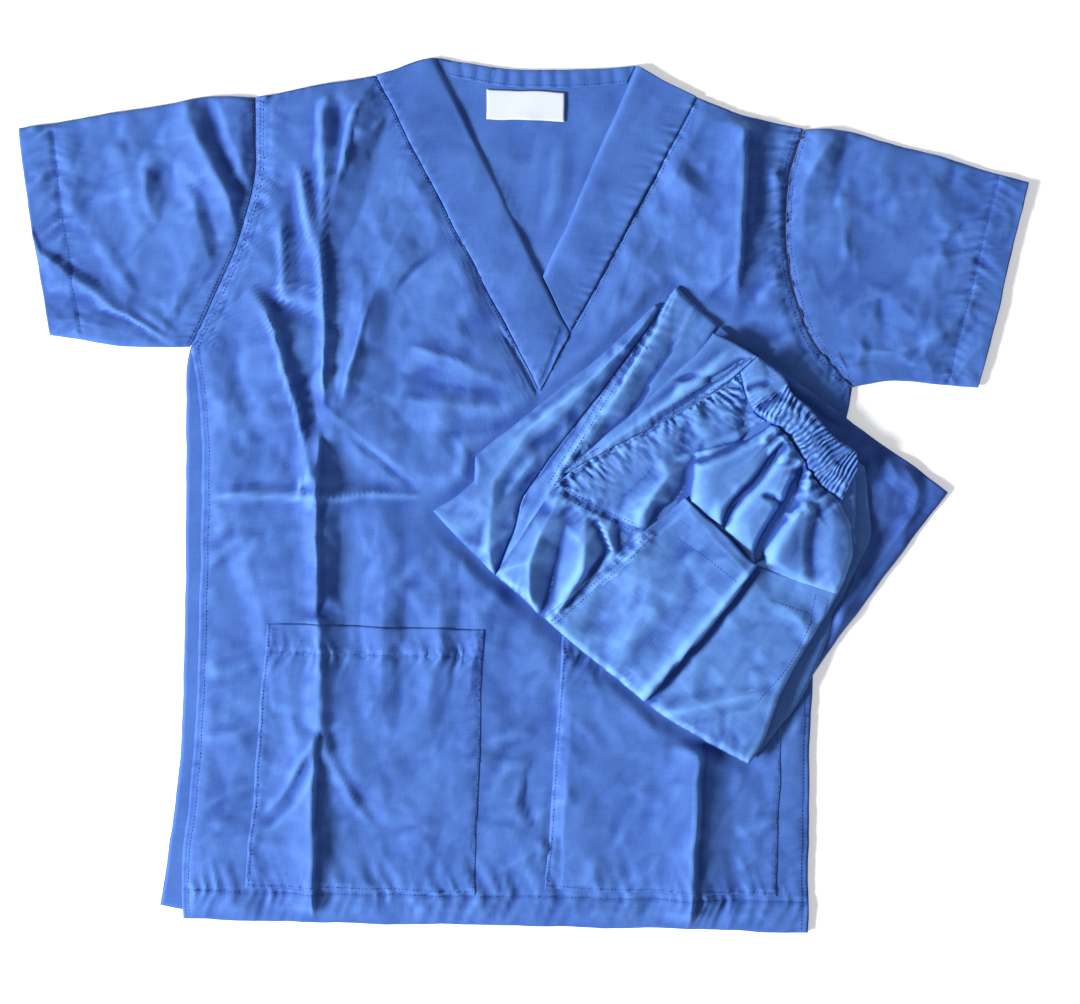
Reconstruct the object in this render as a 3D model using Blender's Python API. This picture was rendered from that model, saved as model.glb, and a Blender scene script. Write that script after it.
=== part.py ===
"""Medical scrubs laid flat: a short-sleeved V-neck top with its folded trousers lying on it.

Blender 4.5. The tables and driving dimensions are in millimetres, and the meshes are built in metres.
+Z is up, the set lies on Z = 0, the neck points to +Y and the wearer's left hand is at +X.
Every cloth piece is a closed wall that follows its cut outline and the height of what it lies on.
"""

import math
from collections import namedtuple

import bmesh
import bpy

MM = 0.001  # metres in one millimetre

# ---- Driving dimensions, mm ------------------------------------------------------------------
CLOTH = 1.0  # wall of one laid cloth
GAP = 0.3  # clearance between pieces that touch
LAYER = CLOTH + GAP  # what one more layer adds to the stack
HALF_SPAN = 428.0  # sleeve hem to the middle
TOP_Y = 371.0  # neck points above the middle
HEM_Y = -371.0  # lowest point of the hem
NECK_FACING = 15.0  # depth of the strip along the back neck
LABEL_WIDTH, LABEL_HEIGHT, LABEL_WALL = 66.0, 25.0, 0.6
LABEL_LEFT, LABEL_TOP = -31.0, 345.0
LABEL_TILT = -3.0  # its right end sits this much lower
LEG_FOLD_THICK = 3.2  # the leg folded out to the left, two cloths with air between them
UNDER_LEG_THICK = 2.0
CORE_THICK = 6.2  # the hidden folded layers together
LEG_BACK_RIM_DROP, LEG_FRONT_RIM_DROP = 1.4, 1.0  # how far their upper rims round down
SHARP_ANGLE = 40.0  # degrees; flatter edges are shaded smooth

# Faces of the stack, from the ground up.
BACK_TOP = CLOTH
FRONT_TOP = BACK_TOP + LAYER
POCKET_TOP = FRONT_TOP + LAYER
LEG_FOLD_LOW = FRONT_TOP + GAP
LEG_FOLD_TOP = LEG_FOLD_LOW + LEG_FOLD_THICK
LEG_END_LOW = POCKET_TOP + GAP
LEG_END_TOP = LEG_END_LOW + CLOTH + LAYER
UNDER_LEG_TOP = LEG_END_TOP + GAP + UNDER_LEG_THICK
CORE_LOW = UNDER_LEG_TOP + GAP
CORE_TOP = CORE_LOW + CORE_THICK
SEAT_RISE = 2.0  # the seat stands this much higher inside its rim
SEAT_TOP = CORE_TOP + LAYER + SEAT_RISE

# ---- Folds -----------------------------------------------------------------------------------
# A fold runs from (x0, y0) to (x1, y1). Its crest is `height` above the cloth, and it falls away
# over `left` and `right` millimetres on the two sides of that run. `fade` is the share of the
# length over which each end dies out; a negative height is a trough.
Fold = namedtuple("Fold", "x0 y0 x1 y1 left right height fade")

FRONT_FOLDS = (
    Fold(-169, 347, -175, 190, 30, 26, 5.0, 0.30),  # pressed crease in from the right armhole
    Fold(-174, 262, -178, 70, 34, 30, 5.5, 0.30),
    Fold(-228, 172, -180, 12, 24, 22, 4.0, 0.35),  # drag line down to the same crease
    Fold(-176, 130, -174, -130, 40, 28, 6.5, 0.25),
    Fold(-172, -60, -181, -361, 42, 26, 5.5, 0.22),
    Fold(184, 322, 181, 172, 44, 22, 6.0, 0.25),  # pressed crease in from the left armhole
    Fold(146, -230, 141, -368, 34, 22, 5.0, 0.25),
    Fold(-272, 2, -90, 0, 26, 24, 2.4, 0.20),  # the fold across the middle
    Fold(2, 94, -110, 108, 18, 22, 2.4, 0.35),  # pull to the point of the V
)
SLEEVE_RIGHT_FOLDS = (
    Fold(-262, 332, -240, 245, 24, 26, 4.0, 0.30),
    Fold(-330, 320, -290, 190, 40, 44, 3.0, 0.35),
    Fold(-413, 190, -290, 128, 24, 30, 4.5, 0.20),
)
SLEEVE_LEFT_FOLDS = (
    Fold(268, 308, 262, 232, 26, 24, 4.0, 0.30),
    Fold(300, 290, 330, 120, 44, 40, 2.6, 0.35),
    Fold(281, 112, 345, 124, 22, 20, 4.0, 0.30),
)
SEAT_FOLDS = (
    Fold(58, -2, -6, -58, 22, 18, 5.0, 0.25),  # gathers that fan out below the rise seam
    Fold(88, -22, 30, -86, 20, 18, 5.5, 0.25),
    Fold(186, 90, 100, 36, 26, 16, 4.5, 0.30),  # long pull under the waistband
    Fold(212, 54, 160, -20, 20, 16, 6.0, 0.28),  # puffs between waistband and pocket
    Fold(242, 30, 210, -42, 24, 18, 7.5, 0.25),
    Fold(264, -8, 256, -72, 22, 18, 7.0, 0.25),
)
LEG_BACK_FOLDS = (Fold(98, 134, -30, -10, 26, 34, 5.0, 0.22),)
LEG_FRONT_FOLDS = (
    Fold(127, 170, 36, 26, 10, 8, 3.4, 0.06),  # ridge of the felled seam
    Fold(141, 160, 60, 40, 14, 12, -1.6, 0.20),
)
RISE_FOLDS = (Fold(162, 122, 70, 40, 12, 12, 1.6, 0.25),)


def smooth_step(t):
    """0 below 0, 1 above 1, and a smooth rise between."""
    t = min(max(t, 0.0), 1.0)
    return t * t * (3 - 2 * t)


def fold_height(x, y, fold):
    """Height in mm that one fold adds at a point."""
    run_x, run_y = fold.x1 - fold.x0, fold.y1 - fold.y0
    length = math.hypot(run_x, run_y)
    along = ((x - fold.x0) * run_x + (y - fold.y0) * run_y) / length**2
    if not 0 < along < 1:
        return 0.0
    aside = ((y - fold.y0) * run_x - (x - fold.x0) * run_y) / length  # positive on the left
    width = fold.left if aside > 0 else fold.right
    ends = smooth_step(along / fold.fade) * smooth_step((1 - along) / fold.fade)
    return fold.height * ends * smooth_step(1 - abs(aside) / width)


def lie(level, folds=()):
    """A height function: a level with the largest of its ridges and troughs on it."""

    def height(x, y):
        heights = [fold_height(x, y, fold) for fold in folds]
        return level + max([0.0, *heights]) + min([0.0, *heights])

    return height


# ---- Outlines --------------------------------------------------------------------------------
def distance(a, b):
    return math.hypot(b[0] - a[0], b[1] - a[1])


def between(a, b, share):
    return (a[0] + (b[0] - a[0]) * share, a[1] + (b[1] - a[1]) * share)


def spaced(line, cells):
    """The line resampled to `cells` equal lengths."""
    marks = [0.0]
    for a, b in zip(line, line[1:]):
        marks.append(marks[-1] + distance(a, b))
    found, i = [], 0
    for k in range(cells + 1):
        want = marks[-1] * k / cells
        while i < len(line) - 2 and marks[i + 1] < want:
            i += 1
        found.append(between(line[i], line[i + 1], (want - marks[i]) / (marks[i + 1] - marks[i])))
    return found


CURVE_STEPS = 12  # fine steps between two given points of a curve
NEARLY_STRAIGHT = 0.05  # sine of a corner that is too blunt to mitre
WELD = 1e-3  # points of one skin closer than this are the same


def curve(points, cells):
    """A smooth curve through the points (Catmull-Rom), in `cells` equal lengths."""
    run = [points[0], *points, points[-1]]
    fine = []
    for a, b, c, d in zip(run, run[1:], run[2:], run[3:]):
        for k in range(CURVE_STEPS):
            t = k / CURVE_STEPS
            fine.append(tuple(cubic(a[i], b[i], c[i], d[i], t) for i in (0, 1)))
    fine.append(points[-1])
    return spaced(fine, cells)


def cubic(a, b, c, d, t):
    """The Catmull-Rom value between b and c."""
    return b + 0.5 * t * (c - a + t * (2 * a - 5 * b + 4 * c - d + t * (3 * b - a - 3 * c + d)))


def joined(*stretches):
    """Stretches that meet end to end, as one line."""
    line = list(stretches[0])
    for stretch in stretches[1:]:
        line += stretch[1:]
    return line


def moved(line, dx, dy):
    return [(x + dx, y + dy) for x, y in line]


def drawn_in(corners, insets):
    """A ring of corners, anticlockwise, with every side drawn in by its own distance."""
    found = []
    for i, corner in enumerate(corners):
        before, after = corners[i - 1], corners[(i + 1) % len(corners)]
        run_a, run_b = distance(before, corner), distance(corner, after)
        a_x, a_y = (corner[0] - before[0]) / run_a, (corner[1] - before[1]) / run_a
        b_x, b_y = (after[0] - corner[0]) / run_b, (after[1] - corner[1]) / run_b
        inset_a, inset_b = insets[i - 1], insets[i]
        turn = a_x * b_y - a_y * b_x
        if abs(turn) < NEARLY_STRAIGHT:
            found.append((corner[0] - b_y * inset_b, corner[1] + b_x * inset_b))
        else:
            step_x = (inset_a * b_x - inset_b * a_x) / turn
            step_y = (inset_a * b_y - inset_b * a_y) / turn
            found.append((corner[0] + step_x, corner[1] + step_y))
    return found


def patch(bottom, top, left, right):
    """Rows of points that fill four sides: bottom and top run left to right, left and right go up."""
    across, up = len(bottom) - 1, len(left) - 1
    rows = []
    for j in range(up + 1):
        v = j / up
        row = []
        for i in range(across + 1):
            u = i / across
            point = []
            for k in (0, 1):
                ruled = (1 - v) * bottom[i][k] + v * top[i][k] + (1 - u) * left[j][k] + u * right[j][k]
                low = (1 - u) * bottom[0][k] + u * bottom[-1][k]
                high = (1 - u) * top[0][k] + u * top[-1][k]
                point.append(ruled - (1 - v) * low - v * high)
            row.append(tuple(point))
        rows.append(row)
    return rows


def four_sided(corners, across, up):
    """A patch with straight sides: corners are lower left, lower right, upper right, upper left."""
    low_left, low_right, up_right, up_left = corners
    return patch(
        spaced([low_left, low_right], across),
        spaced([up_left, up_right], across),
        spaced([low_left, up_left], up),
        spaced([low_right, up_right], up),
    )


# ---- Solids ----------------------------------------------------------------------------------
def material(name, color, roughness):
    made = bpy.data.materials.get(name)
    if made is None:
        made = bpy.data.materials.new(name)
        made.use_nodes = True
        shader = made.node_tree.nodes["Principled BSDF"]
        shader.inputs["Base Color"].default_value = (*color, 1.0)
        shader.inputs["Roughness"].default_value = roughness
        shader.inputs["Metallic"].default_value = 0.0
    return made


POPLIN = ("scrub_poplin", (0.10, 0.24, 0.66), 0.62)
WHITE_TAPE = ("label_tape", (0.86, 0.87, 0.88), 0.55)


def add_object(name, bm, cloth=POPLIN):
    """Finish a bmesh as one named object with its material, in metres."""
    bmesh.ops.recalc_face_normals(bm, faces=bm.faces)
    bmesh.ops.scale(bm, vec=(MM, MM, MM), verts=bm.verts)
    mesh = bpy.data.meshes.new(name)
    bm.to_mesh(mesh)
    bm.free()
    mesh.materials.append(material(*cloth))
    mesh.shade_smooth()
    mesh.set_sharp_from_angle(angle=math.radians(SHARP_ANGLE))
    made = bpy.data.objects.new(name, mesh)
    bpy.context.scene.collection.objects.link(made)


def skin_of(bm, rows, height):
    """One skin of quads over the rows of a patch."""
    skin = [[bm.verts.new((x, y, height(x, y))) for x, y in row] for row in rows]
    for low, high in zip(skin, skin[1:]):
        for i in range(len(low) - 1):
            bm.faces.new((low[i], low[i + 1], high[i + 1], high[i]))
    return skin


def rim_of(skin):
    """The outer vertices of a skin, in order round it."""
    right_side = [row[-1] for row in skin[1:]]
    left_side = [row[0] for row in skin[-2:0:-1]]
    return skin[0] + right_side + skin[-1][-2::-1] + left_side


def bridge(bm, ring_a, ring_b):
    """A strip of faces between two rings that have the same number of points."""
    for i in range(len(ring_a)):
        k = (i + 1) % len(ring_a)
        bm.faces.new((ring_a[i], ring_a[k], ring_b[k], ring_b[i]))


def solid(name, rows, top, bottom, rim_drop):
    """A closed solid between two height functions; its upper rim lies `rim_drop` lower."""
    bm = bmesh.new()
    upper = skin_of(bm, rows, top)
    lower = skin_of(bm, rows, bottom)
    for vert in rim_of(upper):
        vert.co.z -= rim_drop
    bridge(bm, rim_of(upper), rim_of(lower))
    add_object(name, bm)


def wall(name, rows, top, thickness=CLOTH, cloth=POPLIN):
    """One cloth of even thickness under its upper face."""
    bm = bmesh.new()
    upper = skin_of(bm, rows, top)
    lower = skin_of(bm, rows, lambda x, y: top(x, y) - thickness)
    bridge(bm, rim_of(upper), rim_of(lower))
    add_object(name, bm, cloth)


def wall_and_skin(name, rows, top, rim_drop=0.0):
    """A wall, and the triangles of its upper skin for what is sewn on it."""
    bm = bmesh.new()
    upper = skin_of(bm, rows, top)
    lower = skin_of(bm, rows, lambda x, y: top(x, y) - CLOTH)
    for vert in rim_of(upper) + rim_of(lower):
        vert.co.z -= rim_drop
    bridge(bm, rim_of(upper), rim_of(lower))
    bmesh.ops.triangulate(bm, faces=bm.faces)
    on_top = {vert for row in upper for vert in row}
    skin = [[tuple(v.co) for v in face.verts] for face in bm.faces if on_top.issuperset(face.verts)]
    add_object(name, bm)
    return skin


def skin_copy(skin):
    """A skin, given as triangles, as a joined mesh."""
    bm = bmesh.new()
    for triangle in skin:
        bm.faces.new([bm.verts.new(point) for point in triangle])
    bmesh.ops.remove_doubles(bm, verts=bm.verts, dist=WELD)
    return bm


def triangles_of(bm):
    """The triangles of a skin, which is used up."""
    bmesh.ops.triangulate(bm, faces=bm.faces)
    found = [[tuple(vert.co) for vert in face.verts] for face in bm.faces]
    bm.free()
    return found


def cut_along(bm, a, b, clear=True):
    """Cut a skin on the upright plane through a and b; with `clear`, only its left part stays."""
    bmesh.ops.bisect_plane(
        bm,
        geom=[*bm.verts, *bm.edges, *bm.faces],
        dist=WELD,
        plane_co=(*a, 0),
        plane_no=(b[1] - a[1], a[0] - b[0], 0),
        clear_outer=clear,
    )


def lift_as_wall(name, bm):
    """Raise a skin by the gap and give it its wall."""
    bmesh.ops.translate(bm, vec=(0, 0, GAP), verts=bm.verts)
    raised = bmesh.ops.extrude_face_region(bm, geom=bm.faces[:])["geom"]
    lifted = [item for item in raised if isinstance(item, bmesh.types.BMVert)]
    bmesh.ops.translate(bm, vec=(0, 0, CLOTH), verts=lifted)
    add_object(name, bm)


def flat_tube(name, rows, top, bottom):
    """A flattened sleeve or leg: two walls that join along the patch's top and bottom sides.

    It stays open at the patch's left and right ends, so the hollow runs through it.
    """
    bm = bmesh.new()
    last = len(rows) - 1
    inner_rows = []
    for j in range(len(rows)):
        inner_row = []
        for i in range(len(rows[0])):
            inset = CLOTH / distance(rows[0][i], rows[-1][i])
            place = (inset + (1 - 2 * inset) * j / last) * last
            k = min(int(place), last - 1)
            inner_row.append(between(rows[k][i], rows[k + 1][i], place - k))
        inner_rows.append(inner_row)
    outer_top, outer_low = skin_of(bm, rows, top), skin_of(bm, rows, bottom)
    inner_top = skin_of(bm, inner_rows, lambda x, y: top(x, y) - CLOTH)
    inner_low = skin_of(bm, inner_rows, lambda x, y: bottom(x, y) + CLOTH)
    for upper, lower in ((outer_top, outer_low), (inner_top, inner_low)):
        for side in (0, -1):  # the two long folds
            for i in range(len(rows[0]) - 1):
                bm.faces.new((upper[side][i], upper[side][i + 1], lower[side][i + 1], lower[side][i]))
    for end in (0, -1):  # the two open ends
        outside = [row[end] for row in outer_top] + [row[end] for row in reversed(outer_low)]
        inside = [row[end] for row in inner_top] + [row[end] for row in reversed(inner_low)]
        bridge(bm, outside, inside)
    add_object(name, bm)


# ---- The top ---------------------------------------------------------------------------------
ARMPIT_RIGHT = (-283.0, 126.0)
SHOULDER_RIGHT = (-227.0, 338.0)
NECK_RIGHT = (-75.0, TOP_Y)
NECK_LEFT = (96.0, 365.0)
SHOULDER_LEFT = (238.0, 311.0)
ARMPIT_LEFT = (279.0, 92.0)
V_POINT = (14.0, 88.0)  # lowest point of the V seam
BAND_END = (40.0, 138.0)  # where the right band's end meets the left seam of the V
BAND_CROSS = (16.4, 186.0)  # where the two inner edges cross
BAND_TOP_RIGHT = (-126.0, 356.5)  # where each band's seam meets the shoulder
BAND_TOP_LEFT = (147.5, 337.5)
HEM_RIGHT = (-289.0, -359.0)
HEM_LEFT = (241.0, HEM_Y)

ARMHOLE_RIGHT = (ARMPIT_RIGHT, (-258, 176), (-240, 223), (-228, 268), (-226, 311), SHOULDER_RIGHT)
ARMHOLE_LEFT = (ARMPIT_LEFT, (245, 133), (228, 182), (223, 235), (227, 276), SHOULDER_LEFT)
SIDE_RIGHT = (
    HEM_RIGHT, (-290, -318), (-283, -250), (-277, -174), (-274, -55), (-273, 47), (-277, 98), ARMPIT_RIGHT
)
SIDE_LEFT = (HEM_LEFT, (242, -276), (244, -174), (248, -106), (260, -4), ARMPIT_LEFT)

# The back shows beyond the front along the right side, down to the corner of the open vent.
BACK_HEM_RIGHT = (-309.0, -348.0)
BACK_SIDE_RIGHT = (BACK_HEM_RIGHT, (-296, -262), (-291, -208), (-287, -55), (-286, 81), ARMPIT_RIGHT)
BACK_NECK = (NECK_RIGHT, (-28, 364), (14, 361), (58, 362.5), NECK_LEFT)

SIDE_CELLS, ARMHOLE_CELLS = 16, 8  # cells of the front's side seam and of every armhole edge
SHOULDER_CELLS, NECK_CELLS = 5, 7  # cells of its shoulder and of one side of the V


def make_back():
    side_cells, shoulder_cells, neck_cells = 8, 3, 8
    rows = patch(
        curve([BACK_HEM_RIGHT, (-240, -357), (0, -362), (141, -365), HEM_LEFT],
              2 * shoulder_cells + neck_cells),
        joined(
            curve([SHOULDER_RIGHT, (-169, 349), BAND_TOP_RIGHT, NECK_RIGHT], shoulder_cells),
            curve(BACK_NECK, neck_cells),
            curve([NECK_LEFT, BAND_TOP_LEFT, (184, 323), SHOULDER_LEFT], shoulder_cells),
        ),
        joined(curve(BACK_SIDE_RIGHT, side_cells), curve(ARMHOLE_RIGHT, ARMHOLE_CELLS)),
        joined(curve(SIDE_LEFT, side_cells), curve(ARMHOLE_LEFT, ARMHOLE_CELLS)),
    )
    wall("top_back", rows, lie(BACK_TOP))


def front_rows():
    return patch(
        curve([HEM_RIGHT, (-180, -362), (0, -365), (141, -368), HEM_LEFT],
              2 * (SHOULDER_CELLS + NECK_CELLS)),
        joined(
            curve([SHOULDER_RIGHT, (-169, 349), BAND_TOP_RIGHT], SHOULDER_CELLS),
            spaced([BAND_TOP_RIGHT, V_POINT], NECK_CELLS),
            spaced([V_POINT, BAND_TOP_LEFT], NECK_CELLS),
            curve([BAND_TOP_LEFT, (184, 323), SHOULDER_LEFT], SHOULDER_CELLS),
        ),
        joined(curve(SIDE_RIGHT, SIDE_CELLS), curve(ARMHOLE_RIGHT, ARMHOLE_CELLS)),
        joined(curve(SIDE_LEFT, SIDE_CELLS), curve(ARMHOLE_LEFT, ARMHOLE_CELLS)),
    )


# Corners of the top's patch pockets: lower left, lower right, upper right, upper left.
TOP_POCKETS = {
    "pocket_right": ((-236, -332), (-41, -338), (-33, -113.5), (-217, -108.5)),
    "pocket_left": ((18, -334), (215, -340), (221, -116), (33, -112)),
}


def make_front_and_pockets():
    """The front, and the two pockets cut from the front's own upper skin and lifted off it."""
    skin = wall_and_skin("top_front", front_rows(), lie(FRONT_TOP, FRONT_FOLDS))
    for name, corners in TOP_POCKETS.items():
        bm = skin_copy(skin)
        for i, corner in enumerate(corners):
            cut_along(bm, corners[i - 1], corner)
        lift_as_wall(name, bm)


def make_sleeve(name, side, armhole, shoulder_edge, hem, underarm_edge, folds):
    """A sleeve is a flattened tube from its armhole seam to its hem."""
    around, along = ARMHOLE_CELLS, 9
    seam = moved(curve(armhole, around), side * 2 * GAP, 0)
    rows = patch(
        curve([seam[0], *underarm_edge], along),
        curve([seam[-1], *shoulder_edge], along),
        seam,
        curve(hem, around),
    )
    flat_tube(name, rows, lie(FRONT_TOP, folds), lie(0.0))


def make_sleeves():
    make_sleeve(
        "sleeve_right", -1, ARMHOLE_RIGHT,
        ((-271, 338), (-317, 330), (-HALF_SPAN, 311)),
        ((-402, 136), (-416, 220), (-HALF_SPAN, 311)),
        ((-340, 127), (-402, 136)),
        SLEEVE_RIGHT_FOLDS,
    )
    make_sleeve(
        "sleeve_left", 1, ARMHOLE_LEFT,
        ((269, 311), (303, 302), (HALF_SPAN, 266)),
        ((386, 91), (408, 180), (HALF_SPAN, 266)),
        ((320, 97), (386, 91)),
        SLEEVE_LEFT_FOLDS,
    )


def make_neck():
    """The two V bands, the strip along the back neck and the blank label below it."""
    bands = {
        "neck_band_right": (V_POINT, BAND_END, NECK_RIGHT, BAND_TOP_RIGHT),
        "neck_band_left": (BAND_CROSS, BAND_END, BAND_TOP_LEFT, NECK_LEFT),
    }
    clearances = {
        # Lower end, right side, shoulder end, left side.
        "neck_band_right": (GAP, 0, 0, GAP),
        "neck_band_left": (GAP, GAP, 0, 0),
    }
    for name, corners in bands.items():
        rows = four_sided(drawn_in(corners, clearances[name]), 3, 12)
        wall(name, rows, lie(FRONT_TOP))
    # The strip's ends keep clear of the bands' inner edges, which slope in as they come down.
    slope_right = (BAND_END[0] - NECK_RIGHT[0]) / (NECK_RIGHT[1] - BAND_END[1])
    slope_left = (NECK_LEFT[0] - BAND_CROSS[0]) / (NECK_LEFT[1] - BAND_CROSS[1])
    start = (NECK_RIGHT[0] + 2 * GAP, NECK_RIGHT[1])
    finish = (NECK_LEFT[0] - 2 * GAP, NECK_LEFT[1])
    low_start = (start[0] + slope_right * NECK_FACING, start[1] - NECK_FACING)
    low_finish = (finish[0] - slope_left * NECK_FACING, finish[1] - NECK_FACING)
    low_line = [low_start, *moved(BACK_NECK[1:-1], 0, -NECK_FACING), low_finish]
    rows = patch(
        curve(low_line, 10),
        curve([start, *BACK_NECK[1:-1], finish], 10),
        spaced([low_start, start], 1),
        spaced([low_finish, finish], 1),
    )
    wall("neck_facing", rows, lie(BACK_TOP + LAYER))
    label_right, label_low = LABEL_LEFT + LABEL_WIDTH, LABEL_TOP - LABEL_HEIGHT
    corners = (
        (LABEL_LEFT, label_low),
        (label_right, label_low + LABEL_TILT),
        (label_right, LABEL_TOP + LABEL_TILT),
        (LABEL_LEFT, LABEL_TOP),
    )
    label_height = lie(BACK_TOP + GAP + LABEL_WALL)
    wall("neck_label", four_sided(corners, 4, 2), label_height, LABEL_WALL, cloth=WHITE_TAPE)


# ---- The trousers ----------------------------------------------------------------------------
# Lines of the folded bundle; its own axis runs from the waistband at the upper right to the fold
# edge at the lower left.
FOLD_EDGE = ((-24, -68), (16, -102), (43, -126), (103, -175), (150, -206), (190, -226))
SEAT_RIGHT = (
    (190, -226), (204, -204), (218, -165), (249, -111), (266, -82), (275, -58), (281, -34), (268, -4),
)
WAIST_SEAM = ((182, 103), (193, 71), (222, 51), (236, 29), (248, 11), (268, -4))
WAIST_TOP = ((198, 116), (219, 100), (226, 86), (240, 74), (257, 53), (268, 44), (280, 36), (281, 22))
RISE_SEAM = ((24, 5), (46, 23), (150, 80), (182, 103))
RISE_EDGE = ((24, 5), (53, 35), (150, 124), (160, 136))
RISE_TOP = ((160, 136), (180, 127), (198, 116))
RISE_TIP_HIGH, RISE_TIP_LOW = (34.0, 19.0), (38.0, 18.5)  # the rise strip's narrow end

# The leg that is folded out to the left, and the valley between its two panels.
LEG_BACK_EDGE = ((-77, -14), (-43, 10), (-41, 34), (-5, 61), (73, 126), (113, 163))
LEG_VALLEY = ((-24, -68), (-8, -30), (3, 5), (60, 82), (119, 161))
LEG_BACK_TIP, LEG_FRONT_TIP = (116, 160), (130, 177)
LEG_FRONT_CLEARANCE = (-1.5, 1.0)  # from the leg end's two corners to the front panel's

# The leaf under the core.
UNDER_LEG_INSET = 2.0  # behind the fold edge
UNDER_LEG_LEFT = ((-22, -66), (24, 5), (53, 34), (150, 122), (158, 133))
UNDER_LEG_TOP_EDGE = ((158, 133), (196, 112), (222, 86), (256, 52), (289, 24))
UNDER_LEG_RIGHT = ((192, -224), (227, -184), (249, -141), (271, -88), (285, -53), (294, -40), (289, 24))

LEG_FOLD_CORNER = (14.0, -100.0)  # the leg end's corners on the fold edge
LEG_FOLD_END = (192.0, -222.0)
LEG_TIP = (360.0, 3.0)  # corner of the leg end that reaches past the top's side
LEG_HEM_TOP = (167.0, 143.0)
DROOP_LINE = ((250.0, -106.0), (281.0, 92.0))  # past this line the leg end hangs off the top's edge
DROOP_RUN = 60.0  # and comes down to the ground within this distance


def droop(x, y):
    """How far the leg end has come down past the top's side, mm."""
    (x0, y0), (x1, y1) = DROOP_LINE
    past = ((x - x0) * (y1 - y0) - (y - y0) * (x1 - x0)) / distance(*DROOP_LINE)
    return LEG_END_LOW * smooth_step(past / DROOP_RUN)


def make_leg_end():
    """One trouser leg, flat under the bundle, with its open hem to the upper right."""
    across, along = 9, 10
    rows = patch(
        spaced([LEG_FOLD_END, LEG_TIP], along),
        spaced([LEG_FOLD_CORNER, LEG_HEM_TOP], along),
        spaced([LEG_FOLD_END, LEG_FOLD_CORNER], across),
        spaced([LEG_TIP, LEG_HEM_TOP], across),
    )
    flat_tube(
        "trousers_leg_end",
        rows,
        lambda x, y: LEG_END_TOP - droop(x, y),
        lambda x, y: LEG_END_LOW - droop(x, y),
    )


def make_leg_fold():
    """The other leg, folded out to the left: its two panels meet in a valley by the felled seam."""
    along, across = 12, 5
    valley = curve(LEG_VALLEY, along)
    back_rows = patch(
        curve(LEG_BACK_EDGE, along),
        [*valley[:-1], LEG_BACK_TIP],
        spaced([LEG_BACK_EDGE[0], valley[0]], across),
        spaced([LEG_BACK_EDGE[-1], LEG_BACK_TIP], across),
    )
    foot = lie(LEG_FOLD_LOW)
    solid("trousers_leg_back", back_rows, lie(LEG_FOLD_TOP, LEG_BACK_FOLDS), foot, LEG_BACK_RIM_DROP)
    seam = [*moved(valley, 2 * GAP, -GAP)[:-1], LEG_FRONT_TIP]
    right_low, right_high = moved((LEG_FOLD_CORNER, LEG_HEM_TOP), *LEG_FRONT_CLEARANCE)
    front_leg_rows = patch(
        seam,
        spaced([right_low, right_high], along),
        spaced([seam[0], right_low], across),
        spaced([LEG_FRONT_TIP, right_high], across),
    )
    solid("trousers_leg_front", front_leg_rows, lie(LEG_FOLD_TOP, LEG_FRONT_FOLDS), foot, LEG_FRONT_RIM_DROP)


def make_under_leg():
    """The leaf of the folded legs that shows along the right, over the leg end."""
    along, across = 9, 8
    rows = patch(
        moved(curve(FOLD_EDGE, across), UNDER_LEG_INSET, UNDER_LEG_INSET),
        curve(UNDER_LEG_TOP_EDGE, across),
        curve(UNDER_LEG_LEFT, along),
        curve(UNDER_LEG_RIGHT, along),
    )
    wall("trousers_under_leg", rows, lie(UNDER_LEG_TOP), UNDER_LEG_THICK)


CORE_SHOULDER = (284, 6)  # the outline between the seat and the waistband, at the right
# The hidden layers: (share of the core's height, how far that layer's edge is drawn in, mm).
CORE_LAYERS = (
    (0.0, 6.0), (0.10, 3.0), (0.26, 3.0), (0.34, 6.5), (0.42, 3.0), (0.58, 3.0), (0.66, 6.5), (0.74, 3.0),
    (0.92, 3.0), (1.0, 4.5),
)


def make_core():
    """The hidden layers of the folded trousers: one rounded block with stepped edges."""
    outline = joined(
        curve(FOLD_EDGE, 8),
        curve(SEAT_RIGHT[:-1], 7),
        curve([SEAT_RIGHT[-2], CORE_SHOULDER, WAIST_TOP[-1]], 2),
        curve(WAIST_TOP[::-1], 6),
        curve(RISE_TOP[::-1], 2),
        curve(RISE_EDGE[::-1], 7),
        curve([RISE_EDGE[0], FOLD_EDGE[0]], 3),
    )[:-1]
    bm = bmesh.new()
    rings = []
    for share, inset in CORE_LAYERS:
        ring = drawn_in(outline, [inset] * len(outline))
        rings.append([bm.verts.new((x, y, CORE_LOW + (CORE_TOP - CORE_LOW) * share)) for x, y in ring])
    for below, above in zip(rings, rings[1:]):
        bridge(bm, below, above)
    caps = [bm.faces.new(ring) for ring in (rings[0], rings[-1])]
    bmesh.ops.triangulate(bm, faces=caps)
    add_object("trousers_core", bm)


def make_rise():
    """The strip of the back rise between the folded leg and the seat's seam."""
    along, across = 10, 2
    seam = moved((RISE_TIP_LOW, *RISE_SEAM[1:]), -GAP, 2 * GAP)
    rows = patch(
        curve(seam, along),
        spaced([RISE_TIP_HIGH, *RISE_EDGE[1:], *RISE_TOP[1:]], along),
        spaced([seam[0], RISE_TIP_HIGH], across),
        spaced([seam[-1], RISE_TOP[-1]], across),
    )
    wall("trousers_rise", rows, lie(CORE_TOP + LAYER, RISE_FOLDS))


def make_seat():
    """The panel on top of the bundle, from its gathered waist down to the fold edge."""
    across, up = 14, 13
    rows = patch(
        curve(FOLD_EDGE, across),
        curve(WAIST_SEAM, across),
        joined(curve([FOLD_EDGE[0], RISE_SEAM[0]], 3), curve(RISE_SEAM, up - 3)),
        curve(SEAT_RIGHT, up),
    )
    return wall_and_skin("trousers_seat", rows, lie(SEAT_TOP, SEAT_FOLDS), SEAT_RISE)


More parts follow.
